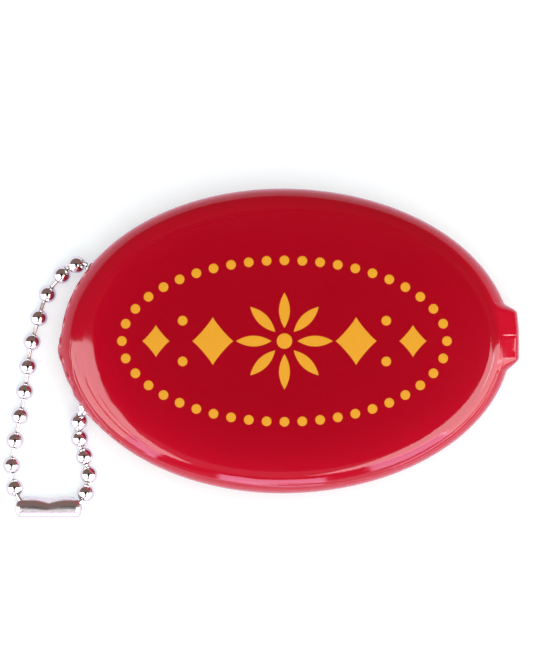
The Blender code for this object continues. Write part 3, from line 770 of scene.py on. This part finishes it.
# %% Chain holes
HOLE_RADIUS = 2.0 * MM
HOLE_FLARE = 0.22 * MM
HOLE_HEIGHT = 4.6 * MM
HOLE_CUT = 2.5 * MM
HOLE_SIDES = 48
FLARE_RINGS = 7
HOLE_ANGLES = (math.radians(180 - 29.6), math.radians(180 + 25.9))


def hole_frame(angle):
    """Middle of the hole on the wall's outer face, and the wall's outward direction there."""
    turn = math.asin((BACK_DEPTH - HOLE_HEIGHT) / BACK_DEPTH)
    angles, turns = np.array([angle]), np.array([turn])
    surface = Vector(edge_section(angles, turns, BACK_EDGE, BACK_DEPTH, -1)[0][0])
    outward = Vector((*outline(angles)[1][0] * math.cos(turn) / BACK_EDGE, 0))
    outward.z = -math.sin(turn) / BACK_DEPTH
    return surface + POUCH_MIDDLE, outward.normalized()


def hole_cutter(angle):
    profile = [(HOLE_RADIUS, -HOLE_CUT), (HOLE_RADIUS, -HOLE_FLARE * 2)]
    for turn in np.linspace(0, math.pi / 2, FLARE_RINGS)[1:]:
        flare = HOLE_FLARE * (1 - math.cos(turn))
        profile.append((HOLE_RADIUS + flare, -HOLE_FLARE * 2 * (1 - math.sin(turn))))
    profile.append((HOLE_RADIUS + HOLE_FLARE, HOLE_CUT))
    points, faces = turned(profile, HOLE_SIDES)
    cutter = add_object("hole_cutter", new_mesh("hole_cutter", points, faces, vinyl))
    surface, outward = hole_frame(angle)
    turn = outward.to_track_quat("Z", "Y").to_matrix().to_4x4()
    cutter.matrix_world = Matrix.Translation(surface) @ turn
    return cutter


for hole_angle in HOLE_ANGLES:
    cut(pouch_skin, hole_cutter(hole_angle), SKIN_SHARP_DEGREES)
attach(pouch_skin, "pouch")
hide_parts("pouch_shell")
print("pouch skin with its holes:", len(pouch_skin.data.polygons), "faces")

# %% [markdown]
# ## The two lips of the mouth
#
# The slit's two lips are part of the same skin, and bend outwards when the ends are squeezed. As
# rigid flaps they would tear from the shell, so each is a piece that blends from the pouch's body
# to its own. Its outer edge has the very points of the shell's edge, where it doesn't bend at
# all, and its bend grows towards the slit. At the slit's two ends the vinyl is whole, so the bend
# fades out there too, and the mouth opens as a lens.

# %% Lips
SLIT_HALF_GAP = 0.15 * MM
LIP_ROWS = 26
LIP_EDGE_ROWS = 9


def lip_rows():
    """Shares from the slit to the outer edge, with heights, round the slit's rounded edge."""
    rows = [(share, 0.0) for share in np.linspace(1, 0, LIP_ROWS)]
    for turn in np.linspace(0, math.pi, LIP_EDGE_ROWS)[1:-1]:
        rows.append((0.0, WALL / 2 * (1 - math.cos(turn))))
    return rows + [(share, WALL) for share in np.linspace(0, 1, LIP_ROWS)]


def make_lip(name, node, side):
    """One lip; side is 1 for the one at +Y and -1 for the other."""
    points, uvs = [], []
    rows = lip_rows()
    for share, height in rows:
        nose = math.sqrt(max(height * (WALL - height), 0))
        edges = window_ring(height)
        edges = edges[edges[:, 1] > SLIT_HALF_GAP]
        for edge_x, edge_y, _ in edges:
            slit = min(SLIT_HALF_GAP, edge_y / 2)
            soft = min(WALL / 2, edge_y / 3)
            inside = slit + soft - nose * soft / (WALL / 2)
            y = inside + (edge_y - inside) * share
            points.append(Vector((edge_x, side * y, height)) + POUCH_MIDDLE)
            uvs.append((edge_x / MM, y / MM))
    count = len(edges)
    faces = []
    for row in range(len(rows)):
        low, high = row * count, (row + 1) % len(rows) * count
        for column in range(count - 1):
            faces.append((low + column, low + column + 1, high + column + 1, high + column))
    for end in (0, count - 1):
        faces.append(tuple(row * count + end for row in range(len(rows))))
    mesh = new_mesh(name, points, faces, vinyl, uvs, SKIN_SHARP_DEGREES)
    lip = add_object(name, mesh)
    start = POUCH_MIDDLE + Vector((0, side * WINDOW_HALF_WIDTH, 0))
    end = POUCH_MIDDLE + Vector((0, side * SLIT_HALF_GAP, 0))
    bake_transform(lip, "pouch", node, start=start, end=end)
    fade_to_ends(lip)
    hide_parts(node)
    return lip


def fade_to_ends(lip):
    """Holds a lip back where the vinyl is whole: at its outer edge and the slit's two ends."""
    weights = lip.data.attributes["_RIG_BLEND"]
    for vertex, weight in zip(lip.data.vertices, weights.data):
        place = vertex.co - POUCH_MIDDLE
        along = abs(place.x - WINDOW_SHIFT) / WINDOW_HALF_LENGTH
        edge = WINDOW_HALF_WIDTH * max(1 - along**WINDOW_SQUARENESS, 0) ** (1 / WINDOW_SQUARENESS)
        inwards = 1 - abs(place.y) / max(edge, SLIT_HALF_GAP)
        weight.value = float(smooth_step(inwards)) * max(1 - along**2, 0)


upper_lip_skin = make_lip("upper_lip_skin", "upper_lip", 1)
lower_lip_skin = make_lip("lower_lip_skin", "lower_lip", -1)
print("lips:", [len(lip.data.polygons) for lip in (upper_lip_skin, lower_lip_skin)], "faces")

# %% [markdown]
# ## The print
#
# The face carries a screen print in matt yellow ink. Here it is a plain ornament: a rosette of
# eight petals between diamonds, inside an oval of dots. It could be a second colour in the
# vinyl's material, but a thick ink film has an edge that catches light, so each motif is a thin
# raised patch with its edge rounded off. Its points are dropped on the finished skin from above,
# so that the film follows the crown.

# %% Print motifs
INK_FILM = 0.035 * MM
INK_SINK = 0.05 * MM
FILM_ROUNDING_SHARE = 0.9
MOTIF_SIDES = 48
MOTIF_SHARES = (0.3, 0.6, 0.85, 1)
PETAL_COUNT = 8
PETAL_LENGTH = 6.2 * MM
PETAL_HALF_WIDTH = 0.95 * MM
PETAL_START = 2.3 * MM
HEART_RADIUS = 1.35 * MM
# Rows are the place, the half length and the half height of a pair of diamonds
DIAMONDS_MM = ((12.6, 3.6, 4.2), (22.6, 2.4, 2.8))
DIAMOND_POWER = 0.9
SPACER_PLACE = (17.9 * MM, 3.58 * MM)
DOT_RADIUS = 0.85 * MM
DOT_COUNT = 44
DOT_OVAL_REACH = 28.6 * MM
DOT_OVAL_HALF = 14.2 * MM
PRINT_SHIFT = 0.4 * MM
PRINT_SHARP_DEGREES = 80


def disc(turn, half_length, half_height):
    return half_length * math.cos(turn), half_height * math.sin(turn)


def diamond(turn, half_length, half_height):
    """Point of a diamond with slightly hollow sides."""
    x, y = math.cos(turn), math.sin(turn)
    size = (abs(x) ** DIAMOND_POWER + abs(y) ** DIAMOND_POWER) ** (-1 / DIAMOND_POWER)
    return half_length * x * size, half_height * y * size


def petal(turn, half_length, half_height):
    """Point of a petal: two arcs that meet in a tip at each end."""
    x = math.cos(turn)
    return half_length * x, math.copysign(half_height * (1 - x * x), math.sin(turn))


def even_oval(reach, half, count):
    """Points an even distance apart round an oval."""
    turns = np.linspace(0, math.tau, 721)
    track = np.stack([reach * np.cos(turns), half * np.sin(turns)], axis=1)
    lengths = np.concatenate([[0], np.cumsum(np.linalg.norm(np.diff(track, axis=0), axis=1))])
    stops = np.linspace(0, lengths[-1], count, endpoint=False)
    return [tuple(np.interp(stop, lengths, track[:, axis]) for axis in (0, 1)) for stop in stops]


def print_motifs():
    """Every motif as (middle, spin, shape, half sizes), about the print's middle."""
    motifs = [((0, 0), 0, disc, (HEART_RADIUS, HEART_RADIUS))]
    reach = PETAL_START + PETAL_LENGTH / 2
    for spin in np.linspace(0, math.tau, PETAL_COUNT, endpoint=False):
        middle = (reach * math.cos(spin), reach * math.sin(spin))
        motifs.append((middle, spin, petal, (PETAL_LENGTH / 2, PETAL_HALF_WIDTH)))
    for place, *half_sizes in DIAMONDS_MM:
        for side in (-1, 1):
            middle = (side * place * MM, 0)
            motifs.append((middle, 0, diamond, [size * MM for size in half_sizes]))
    dots = [(side * SPACER_PLACE[0], rise * SPACER_PLACE[1]) for side in (-1, 1) for rise in (-1, 1)]
    dots += even_oval(DOT_OVAL_REACH, DOT_OVAL_HALF, DOT_COUNT)
    return motifs + [(middle, 0, disc, (DOT_RADIUS, DOT_RADIUS)) for middle in dots]


print(len(print_motifs()), "motifs")

# %% The printed ornament
skin_tree = BVHTree.FromObject(pouch_skin, bpy.context.evaluated_depsgraph_get())


def face_height(x, y):
    above = Vector((x, y, cad_box[1].z * 2))
    return skin_tree.ray_cast(above, Vector((0, 0, -1)))[0].z


def film_patch(points, faces, middle, spin, edge):
    """Adds one patch of ink: its top film, its edge and its underside in the skin."""
    start = len(points)
    cos_spin, sin_spin = math.cos(spin), math.sin(spin)
    rings = [
        (share, INK_FILM * math.sqrt(1 - share**4 * FILM_ROUNDING_SHARE)) for share in MOTIF_SHARES
    ]
    rings.append((1, -INK_SINK))
    for share, height in [(0, INK_FILM), *rings, (0, -INK_SINK)]:
        for x, y in edge if share else edge[:1]:
            across = middle[0] + (x * cos_spin - y * sin_spin) * share
            up = middle[1] + (x * sin_spin + y * cos_spin) * share
            points.append(Vector((across, up, face_height(across, up) + height)))
    first = start + 1
    for face in ring_quads(len(rings), MOTIF_SIDES):
        faces.append(tuple(first + corner for corner in face))
    last_ring, bottom = first + (len(rings) - 1) * MOTIF_SIDES, len(points) - 1
    for side in range(MOTIF_SIDES):
        after = (side + 1) % MOTIF_SIDES
        faces.append((start, first + side, first + after))
        faces.append((bottom, last_ring + after, last_ring + side))


def make_print():
    points, faces = [], []
    turns = np.linspace(0, math.tau, MOTIF_SIDES, endpoint=False)
    for middle, spin, shape, half_sizes in print_motifs():
        place = (POUCH_MIDDLE.x + PRINT_SHIFT + middle[0], POUCH_MIDDLE.y + middle[1])
        film_patch(points, faces, place, spin, [shape(turn, *half_sizes) for turn in turns])
    mesh = new_mesh("yellow_print", points, faces, ink, sharp_degrees=PRINT_SHARP_DEGREES)
    piece = add_object("yellow_print", mesh)
    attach(piece, "pouch")
    return piece


yellow_print = make_print()
print("print:", len(yellow_print.data.polygons), "faces")

# %% [markdown]
# ## Chain balls
#
# Each ball is rolled from strip into a hollow shell. The strip's two edges meet in a fine seam
# that runs from hole to hole, and the holes' rims turn in a little round the wire. A plain sphere
# would show neither, so the mesh is a turned profile, outside and inside, with columns close
# together at the seam. A ball's place is the middle of its node, and its holes' direction is the
# long axis of the node's points. Each ball is turned by a golden angle more than the one before,
# so that the seams lie every way.

# %% Where each chain piece lies
GOLDEN_TURN = math.radians(137.5)


def node_points(node):
    mesh = frame["nodes"][node].data
    return np.array([vertex.co for vertex in mesh.vertices], float).reshape(-1, 3)


def long_axis(node):
    """Direction in which the node's points spread most, which is its axis of turning."""
    points = node_points(node)
    spread = np.cov((points - points.mean(axis=0)).T)
    return Vector(np.linalg.eigh(spread)[1][:, -1])


def stand_in(piece, node, roll):
    """Places a turned piece on its node's middle and axis, and lets it stand for the node."""
    low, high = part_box(node)
    turn = long_axis(node).to_track_quat("Z", "Y").to_matrix().to_4x4()
    middle = Matrix.Translation((low + high) / 2)
    piece.matrix_world = middle @ turn @ Matrix.Rotation(roll, 4, "Z")
    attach(piece, frame["nodes"][node]["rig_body"])
    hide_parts(node)


ball_nodes = sorted(name for name in frame["nodes"] if name.startswith("chain_ball"))
link_nodes = sorted(name for name in frame["nodes"] if name.startswith("chain_link"))
print(len(ball_nodes), "balls and", len(link_nodes), "links")

# %% Balls
BALL_RADIUS = 1.6 * MM
BALL_WALL = 0.13 * MM
HOLE_RIM_RADIUS = 0.58 * MM
RIM_ROUND = 0.07 * MM
RIM_GAP_TURN = 0.05
BALL_STEPS = 20
BALL_COLUMNS = 40
SEAM_HALF_WIDTH = 0.05 * MM
SEAM_DEPTH = 0.035 * MM
SEAM_DEGREES = (0, 0.9, 1.8, 2.7, 4.0, 7.0)


def ball_turns():
    """Columns round the ball in radians, close together at the seam."""
    seam = [*SEAM_DEGREES, *[-degrees for degrees in SEAM_DEGREES[1:]]]
    spread = np.linspace(SEAM_DEGREES[-1], 360 - SEAM_DEGREES[-1], BALL_COLUMNS)[1:-1]
    return [math.radians(degrees) for degrees in sorted({d % 360 for d in [*seam, *spread]})]


def ball_profile():
    """Outer arc, rounded rim and inner arc, as (radius, height, 1 on the outside)."""
    start = math.asin(HOLE_RIM_RADIUS / BALL_RADIUS)
    arc = np.linspace(start + RIM_GAP_TURN, math.pi - start - RIM_GAP_TURN, BALL_STEPS)
    outside = [(BALL_RADIUS * math.sin(t), BALL_RADIUS * math.cos(t), 1) for t in arc]
    inner_radius = BALL_RADIUS - BALL_WALL
    inside = [(inner_radius * math.sin(t), inner_radius * math.cos(t), 0) for t in arc[::-1]]
    rim_height = (BALL_RADIUS - BALL_WALL / 2) * math.cos(start)
    rim = [(HOLE_RIM_RADIUS, side * RIM_ROUND / 2 - rim_height, 0) for side in (-1, 1)]
    far_rim = [(radius, -height, side) for radius, height, side in rim]
    return outside + rim + inside + far_rim


def make_ball_mesh():
    turns = ball_turns()
    profile = ball_profile()
    points = []
    for radius, height, outside in profile:
        for turn in turns:
            away = (turn + math.pi) % math.tau - math.pi
            groove = SEAM_DEPTH * math.exp(-((away * radius / SEAM_HALF_WIDTH) ** 2))
            reach = radius - groove * outside
            points.append(Vector((reach * math.cos(turn), reach * math.sin(turn), height)))
    return new_mesh("ball", points, ring_quads(len(profile), len(turns), closed=True), nickel)


ball_mesh = make_ball_mesh()
for number, node in enumerate(ball_nodes):
    ball = add_object(node.replace("chain_ball", "bead"), ball_mesh)
    stand_in(ball, node, number * GOLDEN_TURN)
print("ball:", len(ball_mesh.polygons), "faces")

# %% [markdown]
# ## Chain links
#
# A link is a short piece of wire with a head upset at each end, inside the balls. Where it goes
# through a ball's wall it is free to tilt, which is what lets the chain bend. Its profile, turned
# about the wire's axis, is given from its end to the middle and mirrored.

# %% Links
LINK_ROD = 0.38 * MM
LINK_HEAD = 0.60 * MM
LINK_SIDES = 24
# Rows are a share of the head's radius and millimetres from the link's end
LINK_HEAD_PROFILE = ((0.35, 0), (0.75, 0.03), (1, 0.18), (1, 0.28), (0.8, 0.4))
LINK_ROD_FROM_END_MM = (0.54, 1.1)
LINK_WAIST_SHARE = 0.96


def make_link_mesh():
    axis = np.array(long_axis(link_nodes[0]))
    half = np.ptp(node_points(link_nodes[0]) @ axis) / 2
    profile = [(LINK_HEAD * share, half - from_end * MM) for share, from_end in LINK_HEAD_PROFILE]
    profile += [(LINK_ROD, half - from_end * MM) for from_end in LINK_ROD_FROM_END_MM]
    profile.append((LINK_ROD * LINK_WAIST_SHARE, 0))
    profile += [(radius, -height) for radius, height in profile[-2::-1]]
    return new_mesh("link", *turned(profile, LINK_SIDES), steel_wire), half * 2


link_mesh, link_length = make_link_mesh()
for number, node in enumerate(link_nodes):
    link = add_object(node.replace("chain_link", "wire_link"), link_mesh)
    stand_in(link, node, number * GOLDEN_TURN)
print("link:", round(link_length / MM, 2), "mm long")

# %% [markdown]
# ## The sleeve that closes the chain
#
# The connector is a strip of nickel-plated steel rolled to a sleeve, with its ends curled in
# over the last balls. A slot in its side lets a link's neck out at each end, and a press has
# pinched its waist. The sleeve is a grid of points round an axis, and the pinch takes the points
# of its far side in, most of all in the middle. Boolean cuts open the slots, as a punch does.

# %% Sleeve sizes and place
SLEEVE_WALL = 0.22 * MM
SLEEVE_SIDES = 72
SLEEVE_SHARP_DEGREES = 28
MOUTH_RADIUS = 1.1 * MM
MOUTH_RIM = 0.25 * MM
CURL_LENGTH = 1.0 * MM
CURL_RINGS = 9
STRAIGHT_RINGS = 8
WAIST_HALF_LENGTH = 2.4 * MM
WAIST_DEPTH = 0.46 * MM
WAIST_TILT = math.radians(28)
WAIST_RINGS = 15
SLOT_HALF_WIDTH = 1.35 * MM
SLOT_LOW_EDGE = 0.2 * MM
SLOT_INNER_REACH = 0.6 * MM
SLOT_OVERRUN = 1.0 * MM
SLOT_ROUND_SHARE = 0.8

sleeve_low, sleeve_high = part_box("chain_connector")
end_ball_low, end_ball_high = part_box(ball_nodes[0])
SLEEVE_LENGTH = sleeve_high.x - sleeve_low.x
SLEEVE_MIDDLE = (end_ball_low + end_ball_high) / 2
SLEEVE_MIDDLE.x = (sleeve_low.x + sleeve_high.x) / 2
SLEEVE_RADIUS = SLEEVE_MIDDLE.z - sleeve_low.z
print("sleeve:", round(SLEEVE_LENGTH / MM, 2), "by", round(SLEEVE_RADIUS * 2 / MM, 2), "mm")


# %% Sleeve
def sleeve_stations(radius, skin):
    """(x, radius, pinch) from mouth to mouth, for the outer or the inner skin."""
    half = SLEEVE_LENGTH / 2 - skin
    stations = [(-half, MOUTH_RADIUS - MOUTH_RIM, 0)]
    for turn in np.linspace(0, math.pi / 2, CURL_RINGS):
        curl = CURL_LENGTH * (1 - math.cos(turn))
        stations.append((-half + curl, MOUTH_RADIUS + (radius - MOUTH_RADIUS) * math.sin(turn), 0))
    straight = np.linspace(-half + CURL_LENGTH, -WAIST_HALF_LENGTH, STRAIGHT_RINGS)[1:]
    stations += [(x, radius, 0) for x in straight]
    for share in np.linspace(0, 1, WAIST_RINGS)[1:]:
        stations.append((-WAIST_HALF_LENGTH * (1 - share), radius, share))
    return stations + [(-x, reach, pinch) for x, reach, pinch in stations[-2::-1]]


def sleeve_point(x, radius, pinch, turn):
    reach = radius - WAIST_DEPTH * pinch * max(math.cos(turn - WAIST_TILT), 0) ** 2
    return Vector((x, reach * math.cos(turn), reach * math.sin(turn)))


def slot_cutter(end):
    """A block with rounded inner edges that opens one end of the sleeve's side."""
    low_x = SLEEVE_LENGTH / 2 - SLEEVE_WALL - BALL_RADIUS - SLOT_INNER_REACH
    high_x = SLEEVE_LENGTH / 2 + SLOT_OVERRUN
    high_y = SLEEVE_RADIUS + SLOT_OVERRUN
    size = (high_x - low_x, high_y + SLOT_LOW_EDGE, 2 * SLOT_HALF_WIDTH)
    middle = Vector((end * (low_x + high_x) / 2, (high_y - SLOT_LOW_EDGE) / 2, 0))
    work = bmesh.new()
    place = Matrix.Translation(middle) @ Matrix.Diagonal((*size, 1))
    bmesh.ops.create_cube(work, size=1, matrix=place)
    inner_edges = [
        edge
        for edge in work.edges
        if all(abs(vertex.co.x - end * low_x) < size[0] / 4 for vertex in edge.verts)
        and abs(edge.verts[0].co.y - edge.verts[1].co.y) > size[1] / 2
    ]
    rounding = SLOT_HALF_WIDTH * SLOT_ROUND_SHARE
    bmesh.ops.bevel(work, geom=inner_edges, offset=rounding, segments=8, affect="EDGES")
    mesh = bpy.data.meshes.new("slot_cutter")
    work.to_mesh(mesh)
    work.free()
    cutter = add_object("slot_cutter", mesh)
    cutter.location = SLEEVE_MIDDLE
    return cutter


def make_sleeve():
    outside = sleeve_stations(SLEEVE_RADIUS, 0)
    inside = sleeve_stations(SLEEVE_RADIUS - SLEEVE_WALL, SLEEVE_WALL)
    profile = outside + inside[::-1]
    turns = np.linspace(0, math.tau, SLEEVE_SIDES, endpoint=False)
    points = [sleeve_point(*station, t) + SLEEVE_MIDDLE for station in profile for t in turns]
    faces = ring_quads(len(profile), SLEEVE_SIDES, closed=True)
    name, sharp = "connector_sleeve", SLEEVE_SHARP_DEGREES
    sleeve = add_object(name, new_mesh(name, points, faces, strip_nickel, None, sharp))
    for end in (-1, 1):
        cut(sleeve, slot_cutter(end), SLEEVE_SHARP_DEGREES)
    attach(sleeve, frame["nodes"]["chain_connector"]["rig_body"])
    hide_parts("chain_connector")
    return sleeve


connector_sleeve = make_sleeve()
print("sleeve:", len(connector_sleeve.data.polygons), "faces")

# %% [markdown]
# ## Floor
#
# The object lies on white paper that runs out of sight. Seen by the camera, and in gloss, metal
# or glass, the paper also gives off an even light of its own, so that it comes out white without
# more light on the object. To the camera that light is a little green-blue, which balances the
# red that the pouch throws on the paper round it, and in gloss it is a little lavender. From
# below the paper is clear, so that the mouth can be looked at.

# %% Floor material and mesh
PAPER = linear("#dcdcdc")
PAPER_SHADE = linear("#d9d9d9")
PAPER_GLOW = linear("#a4b1b1")
PAPER_GLOSS = linear("#aca3bd")
PAPER_ROUGHNESS = 0.9
FIBRE_MM = 2.5
FLOOR_REACH = 4.0
FLOOR_GAP = 0.02 * MM
FLOOR_SIDES = 96


def make_paper():
    material, tree, shader = new_material(
        "white_backing_paper", Roughness=PAPER_ROUGHNESS, Specular_IOR_Level=0.0
    )
    place = add_node(tree, "TexCoord")
    fibre_settings = {"Scale": 1 / (FIBRE_MM * MM), "Detail": 2.0}
    fibres = add_node(tree, "TexNoise", fibre_settings, {"Vector": (place, "Object")})
    whites = {"data_type": "RGBA", 6: PAPER_SHADE, 7: PAPER}
    tint = add_node(tree, "Mix", whites, {0: fibres})
    tree.links.new(tint.outputs[2], shader.inputs["Base Color"])
    path = add_node(tree, "LightPath")
    glows = {"data_type": "RGBA", 6: PAPER_GLOW, 7: PAPER_GLOSS}
    glow_tint = add_node(tree, "Mix", glows, {0: (path, "Is Glossy Ray")})
    either = {"operation": "MAXIMUM"}
    camera_or_gloss = add_node(
        tree, "Math", either, {0: (path, "Is Camera Ray"), 1: (path, "Is Glossy Ray")}
    )
    seen = add_node(
        tree, "Math", either, {0: camera_or_gloss, 1: (path, "Is Transmission Ray")}
    )
    glow = add_node(tree, "Emission", links={"Color": (glow_tint, 2), "Strength": seen})
    both = add_node(tree, "AddShader", links={0: shader, 1: glow})
    clear = add_node(tree, "BsdfTransparent")
    side = add_node(tree, "NewGeometry")
    mixed = add_node(
        tree, "MixShader", links={0: (side, "Backfacing"), 1: both, 2: clear}
    )
    tree.links.new(mixed.outputs[0], tree.nodes["Material Output"].inputs["Surface"])
    return material


def make_floor():
    points = [
        (FLOOR_REACH * math.cos(turn), FLOOR_REACH * math.sin(turn), -FLOOR_GAP)
        for turn in np.linspace(0, math.tau, FLOOR_SIDES, endpoint=False)
    ]
    mesh = bpy.data.meshes.new("paper_floor")
    mesh.from_pydata(points, [], [tuple(range(FLOOR_SIDES))])
    mesh.materials.append(make_paper())
    floor = add_object("paper_floor", mesh)
    floor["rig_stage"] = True


make_floor()
print("floor:", FLOOR_REACH * 2, "m across")

# %% [markdown]
# ## Light
#
# A glossy thing is lit by what it reflects. A tall soft box stands at the left and one at the
# right, and each runs on overhead as a roof, with a gap between the roofs that leaves the face
# dark. Their far edges stand level with the object, which is why the bright patches on the
# shoulder end in straight edges there. At the near side stand three lamps with a breath of
# lavender, and a faint blue one hangs over them, like a sky.
#
# All of these work for gloss alone. The colour is lit by a wide even panel overhead, which gloss
# doesn't show, at a level where a colour renders about as it is written.

# %% Soft boxes
LAMP_WHITE = linear("#f9f7f4")
SKY_BLUE = linear("#dfe8f6")
NEAR_LAVENDER = linear("#ecd8ff")
BOX_PLACE = 0.9
BOX_LENGTH = 1.1
BOX_RADIANCE = 6.2
WALL_LOW = 0.08
ROOF_LEVEL = 0.95
RIGHT_LEAN = math.radians(5)
LEFT_ROOF = {"corner": (-0.33, -0.01, ROOF_LEVEL), "width": 0.57, "bearing": math.radians(-3)}
RIGHT_ROOF = {"corner": (0.33, 0.0, ROOF_LEVEL), "width": 0.8, "bearing": math.radians(-12)}
NEAR_WALLS = ((-BOX_PLACE, -0.58), (0.36, BOX_PLACE))
NEAR_PANEL_MIDDLE = (-0.03, -BOX_PLACE, 0.22)
NEAR_PANEL_SIZE = (0.34, 0.42)
SKY_MIDDLE = (-0.1, -0.85, 1.0)
SKY_SIZE = (0.9, 1.0)
SKY_RADIANCE = 0.45


def soft_box(name, middle, across, up, radiance=BOX_RADIANCE, colour=LAMP_WHITE):
    """An even area lamp; across and up are its two sides, and it shines against across x up."""
    across, up = Vector(across), Vector(up)
    lamp = bpy.data.lights.new(name, "AREA")
    lamp.shape = "RECTANGLE"
    lamp.size, lamp.size_y = across.length, up.length
    lamp.energy = radiance * across.length * up.length * math.pi
    lamp.color = colour[:3]
    box = add_object(name, lamp)
    x, y = across.normalized(), up.normalized()
    turn = Matrix((x, y, x.cross(y))).transposed().to_4x4()
    box.matrix_world = Matrix.Translation(middle) @ turn
    box.visible_camera = False
    return box


def roof_box(name, corner, width, bearing):
    """A level lamp overhead, placed by its inner far corner and turned about it."""
    turn = Matrix.Rotation(bearing, 4, "Z")
    across, up = turn @ Vector((width, 0, 0)), turn @ Vector((0, BOX_LENGTH, 0))
    middle = Vector(corner) + (across * math.copysign(1, corner[0]) - up) / 2
    return soft_box(name, middle, across, up)


def near_box(name, middle, width, height):
    """An upright lavender lamp at the near side."""
    return soft_box(name, middle, (width, 0, 0), (0, 0, height), colour=NEAR_LAVENDER)


wall_height = ROOF_LEVEL - WALL_LOW
wall_middle = (ROOF_LEVEL + WALL_LOW) / 2
box_y = POUCH_MIDDLE.y - BOX_LENGTH / 2
left_middle = (-BOX_PLACE, box_y, wall_middle)
right_middle = (BOX_PLACE, box_y - wall_height * math.sin(RIGHT_LEAN) / 2, wall_middle)
lean_across = Vector((0, math.cos(RIGHT_LEAN), math.sin(RIGHT_LEAN))) * BOX_LENGTH
lean_up = Vector((0, -math.sin(RIGHT_LEAN), math.cos(RIGHT_LEAN))) * wall_height
gloss_boxes = [
    soft_box("left_wall", left_middle, (0, -BOX_LENGTH, 0), (0, 0, wall_height)),
    soft_box("right_wall", right_middle, lean_across, lean_up),
    roof_box("left_roof", **LEFT_ROOF),
    roof_box("right_roof", **RIGHT_ROOF),
]
for name, (low_x, high_x) in zip(("near_left_wall", "near_right_wall"), NEAR_WALLS):
    middle = ((low_x + high_x) / 2, -BOX_LENGTH, wall_middle)
    gloss_boxes.append(near_box(name, middle, high_x - low_x, wall_height))
gloss_boxes.append(near_box("near_panel", NEAR_PANEL_MIDDLE, *NEAR_PANEL_SIZE))
sky_sides = ((SKY_SIZE[0], 0, 0), (0, SKY_SIZE[1], 0))
gloss_boxes.append(soft_box("sky_panel", SKY_MIDDLE, *sky_sides, SKY_RADIANCE, SKY_BLUE))
for box in gloss_boxes:
    box.visible_diffuse = False
print(len(gloss_boxes), "soft boxes for gloss")

# %% Even panel for colour
FILL_SIZE = 1.8
FILL_MIDDLE = (0.5, -0.3, 1.35)
FILL_RADIANCE = 1.75
fill = soft_box("fill_panel", FILL_MIDDLE, (FILL_SIZE, 0, 0), (0, FILL_SIZE, 0), FILL_RADIANCE)
fill.visible_glossy = False
print("fill panel", FILL_SIZE, "m wide")

# %% [markdown]
# ## The room
#
# In gloss the room is dim and brown. Near the horizon it is as pale as the paper, so that gloss
# and metal show the white backing there. Colours get an even grey light from it, and the camera
# itself sees white.

# %% World
ROOM_DIM = linear("#1c1a18")
ROOM_BROWN = linear("#8b6f69")
ROOM_WHITE = (1, 1, 1, 1)
ROOM_LIGHT = linear("#c0c0c5")
# Rows are heights above the horizon, as the sine of the angle, and colours
ROOM_BANDS = (
    (0.0, ROOM_WHITE),
    (0.03, ROOM_WHITE),
    (0.09, ROOM_BROWN),
    (0.93, ROOM_BROWN),
    (0.975, ROOM_DIM),
)


def make_room():
    world = bpy.data.worlds.new("dim_room")
    bpy.context.scene.world = world
    world.use_nodes = True
    tree = world.node_tree
    place = add_node(tree, "TexCoord")
    axes = add_node(tree, "SeparateXYZ", links={0: (place, "Generated")})
    ramp = add_node(tree, "ValToRGB", links={"Fac": (axes, "Z")})
    elements = ramp.color_ramp.elements
    elements[0].position, elements[0].color = ROOM_BANDS[0]
    elements[1].position, elements[1].color = ROOM_BANDS[-1]
    for position, colour in ROOM_BANDS[1:-1]:
        elements.new(position).color = colour
    path = add_node(tree, "LightPath")
    even = {"data_type": "RGBA", 7: ROOM_LIGHT}
    lit = add_node(tree, "Mix", even, {0: (path, "Is Diffuse Ray"), 6: ramp})
    white = {"data_type": "RGBA", 7: ROOM_WHITE}
    seen = add_node(tree, "Mix", white, {0: (path, "Is Camera Ray"), 6: (lit, 2)})
    background = tree.nodes["Background"]
    tree.links.new(seen.outputs[2], background.inputs["Color"])
    background.inputs["Strength"].default_value = 1.0


make_room()
bpy.context.scene.view_settings.view_transform = "Standard"
print("room made")

# %% [markdown]
# ## Camera
#
# The photograph was taken from straight above with a long lens. The middles of the chain's balls,
# 1.6 mm above the table, and the pouch's rim, about 5 mm higher, give two scales, and their ratio
# the camera's height. The lens then follows from the picture's scale.

# %% Camera from the photograph's scale
PICTURE_HEIGHT_PX = 666
BALL_SCALE_PX_MM = 5.58
RIM_SCALE_PX_MM = 5.626
RIM_LEVEL = 6.5 * MM
SENSOR_MM = 36
CAMERA_PLACE = (-2.755 * MM, 1.42 * MM)
above_balls = (RIM_LEVEL - BALL_RADIUS) / (1 - BALL_SCALE_PX_MM / RIM_SCALE_PX_MM)
focal_px = BALL_SCALE_PX_MM / MM * above_balls

camera_data = bpy.data.cameras.new("camera")
camera_data.sensor_fit = "VERTICAL"
camera_data.sensor_height = SENSOR_MM
camera_data.lens = focal_px / PICTURE_HEIGHT_PX * SENSOR_MM
camera = add_object("camera", camera_data)
camera.location = POUCH_MIDDLE + Vector((*CAMERA_PLACE, 0))
camera.location.z = BALL_RADIUS + above_balls
bpy.context.scene.camera = camera
print("camera", round(camera.location.z, 3), "m up, lens", round(camera_data.lens, 1), "mm")

# %% Sizes and finish
shown_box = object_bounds()
for label, (low, high) in (("cad", cad_box), ("visual", shown_box)):
    print(label, "mm:", [round((b - a) / MM, 2) for a, b in zip(low, high)])
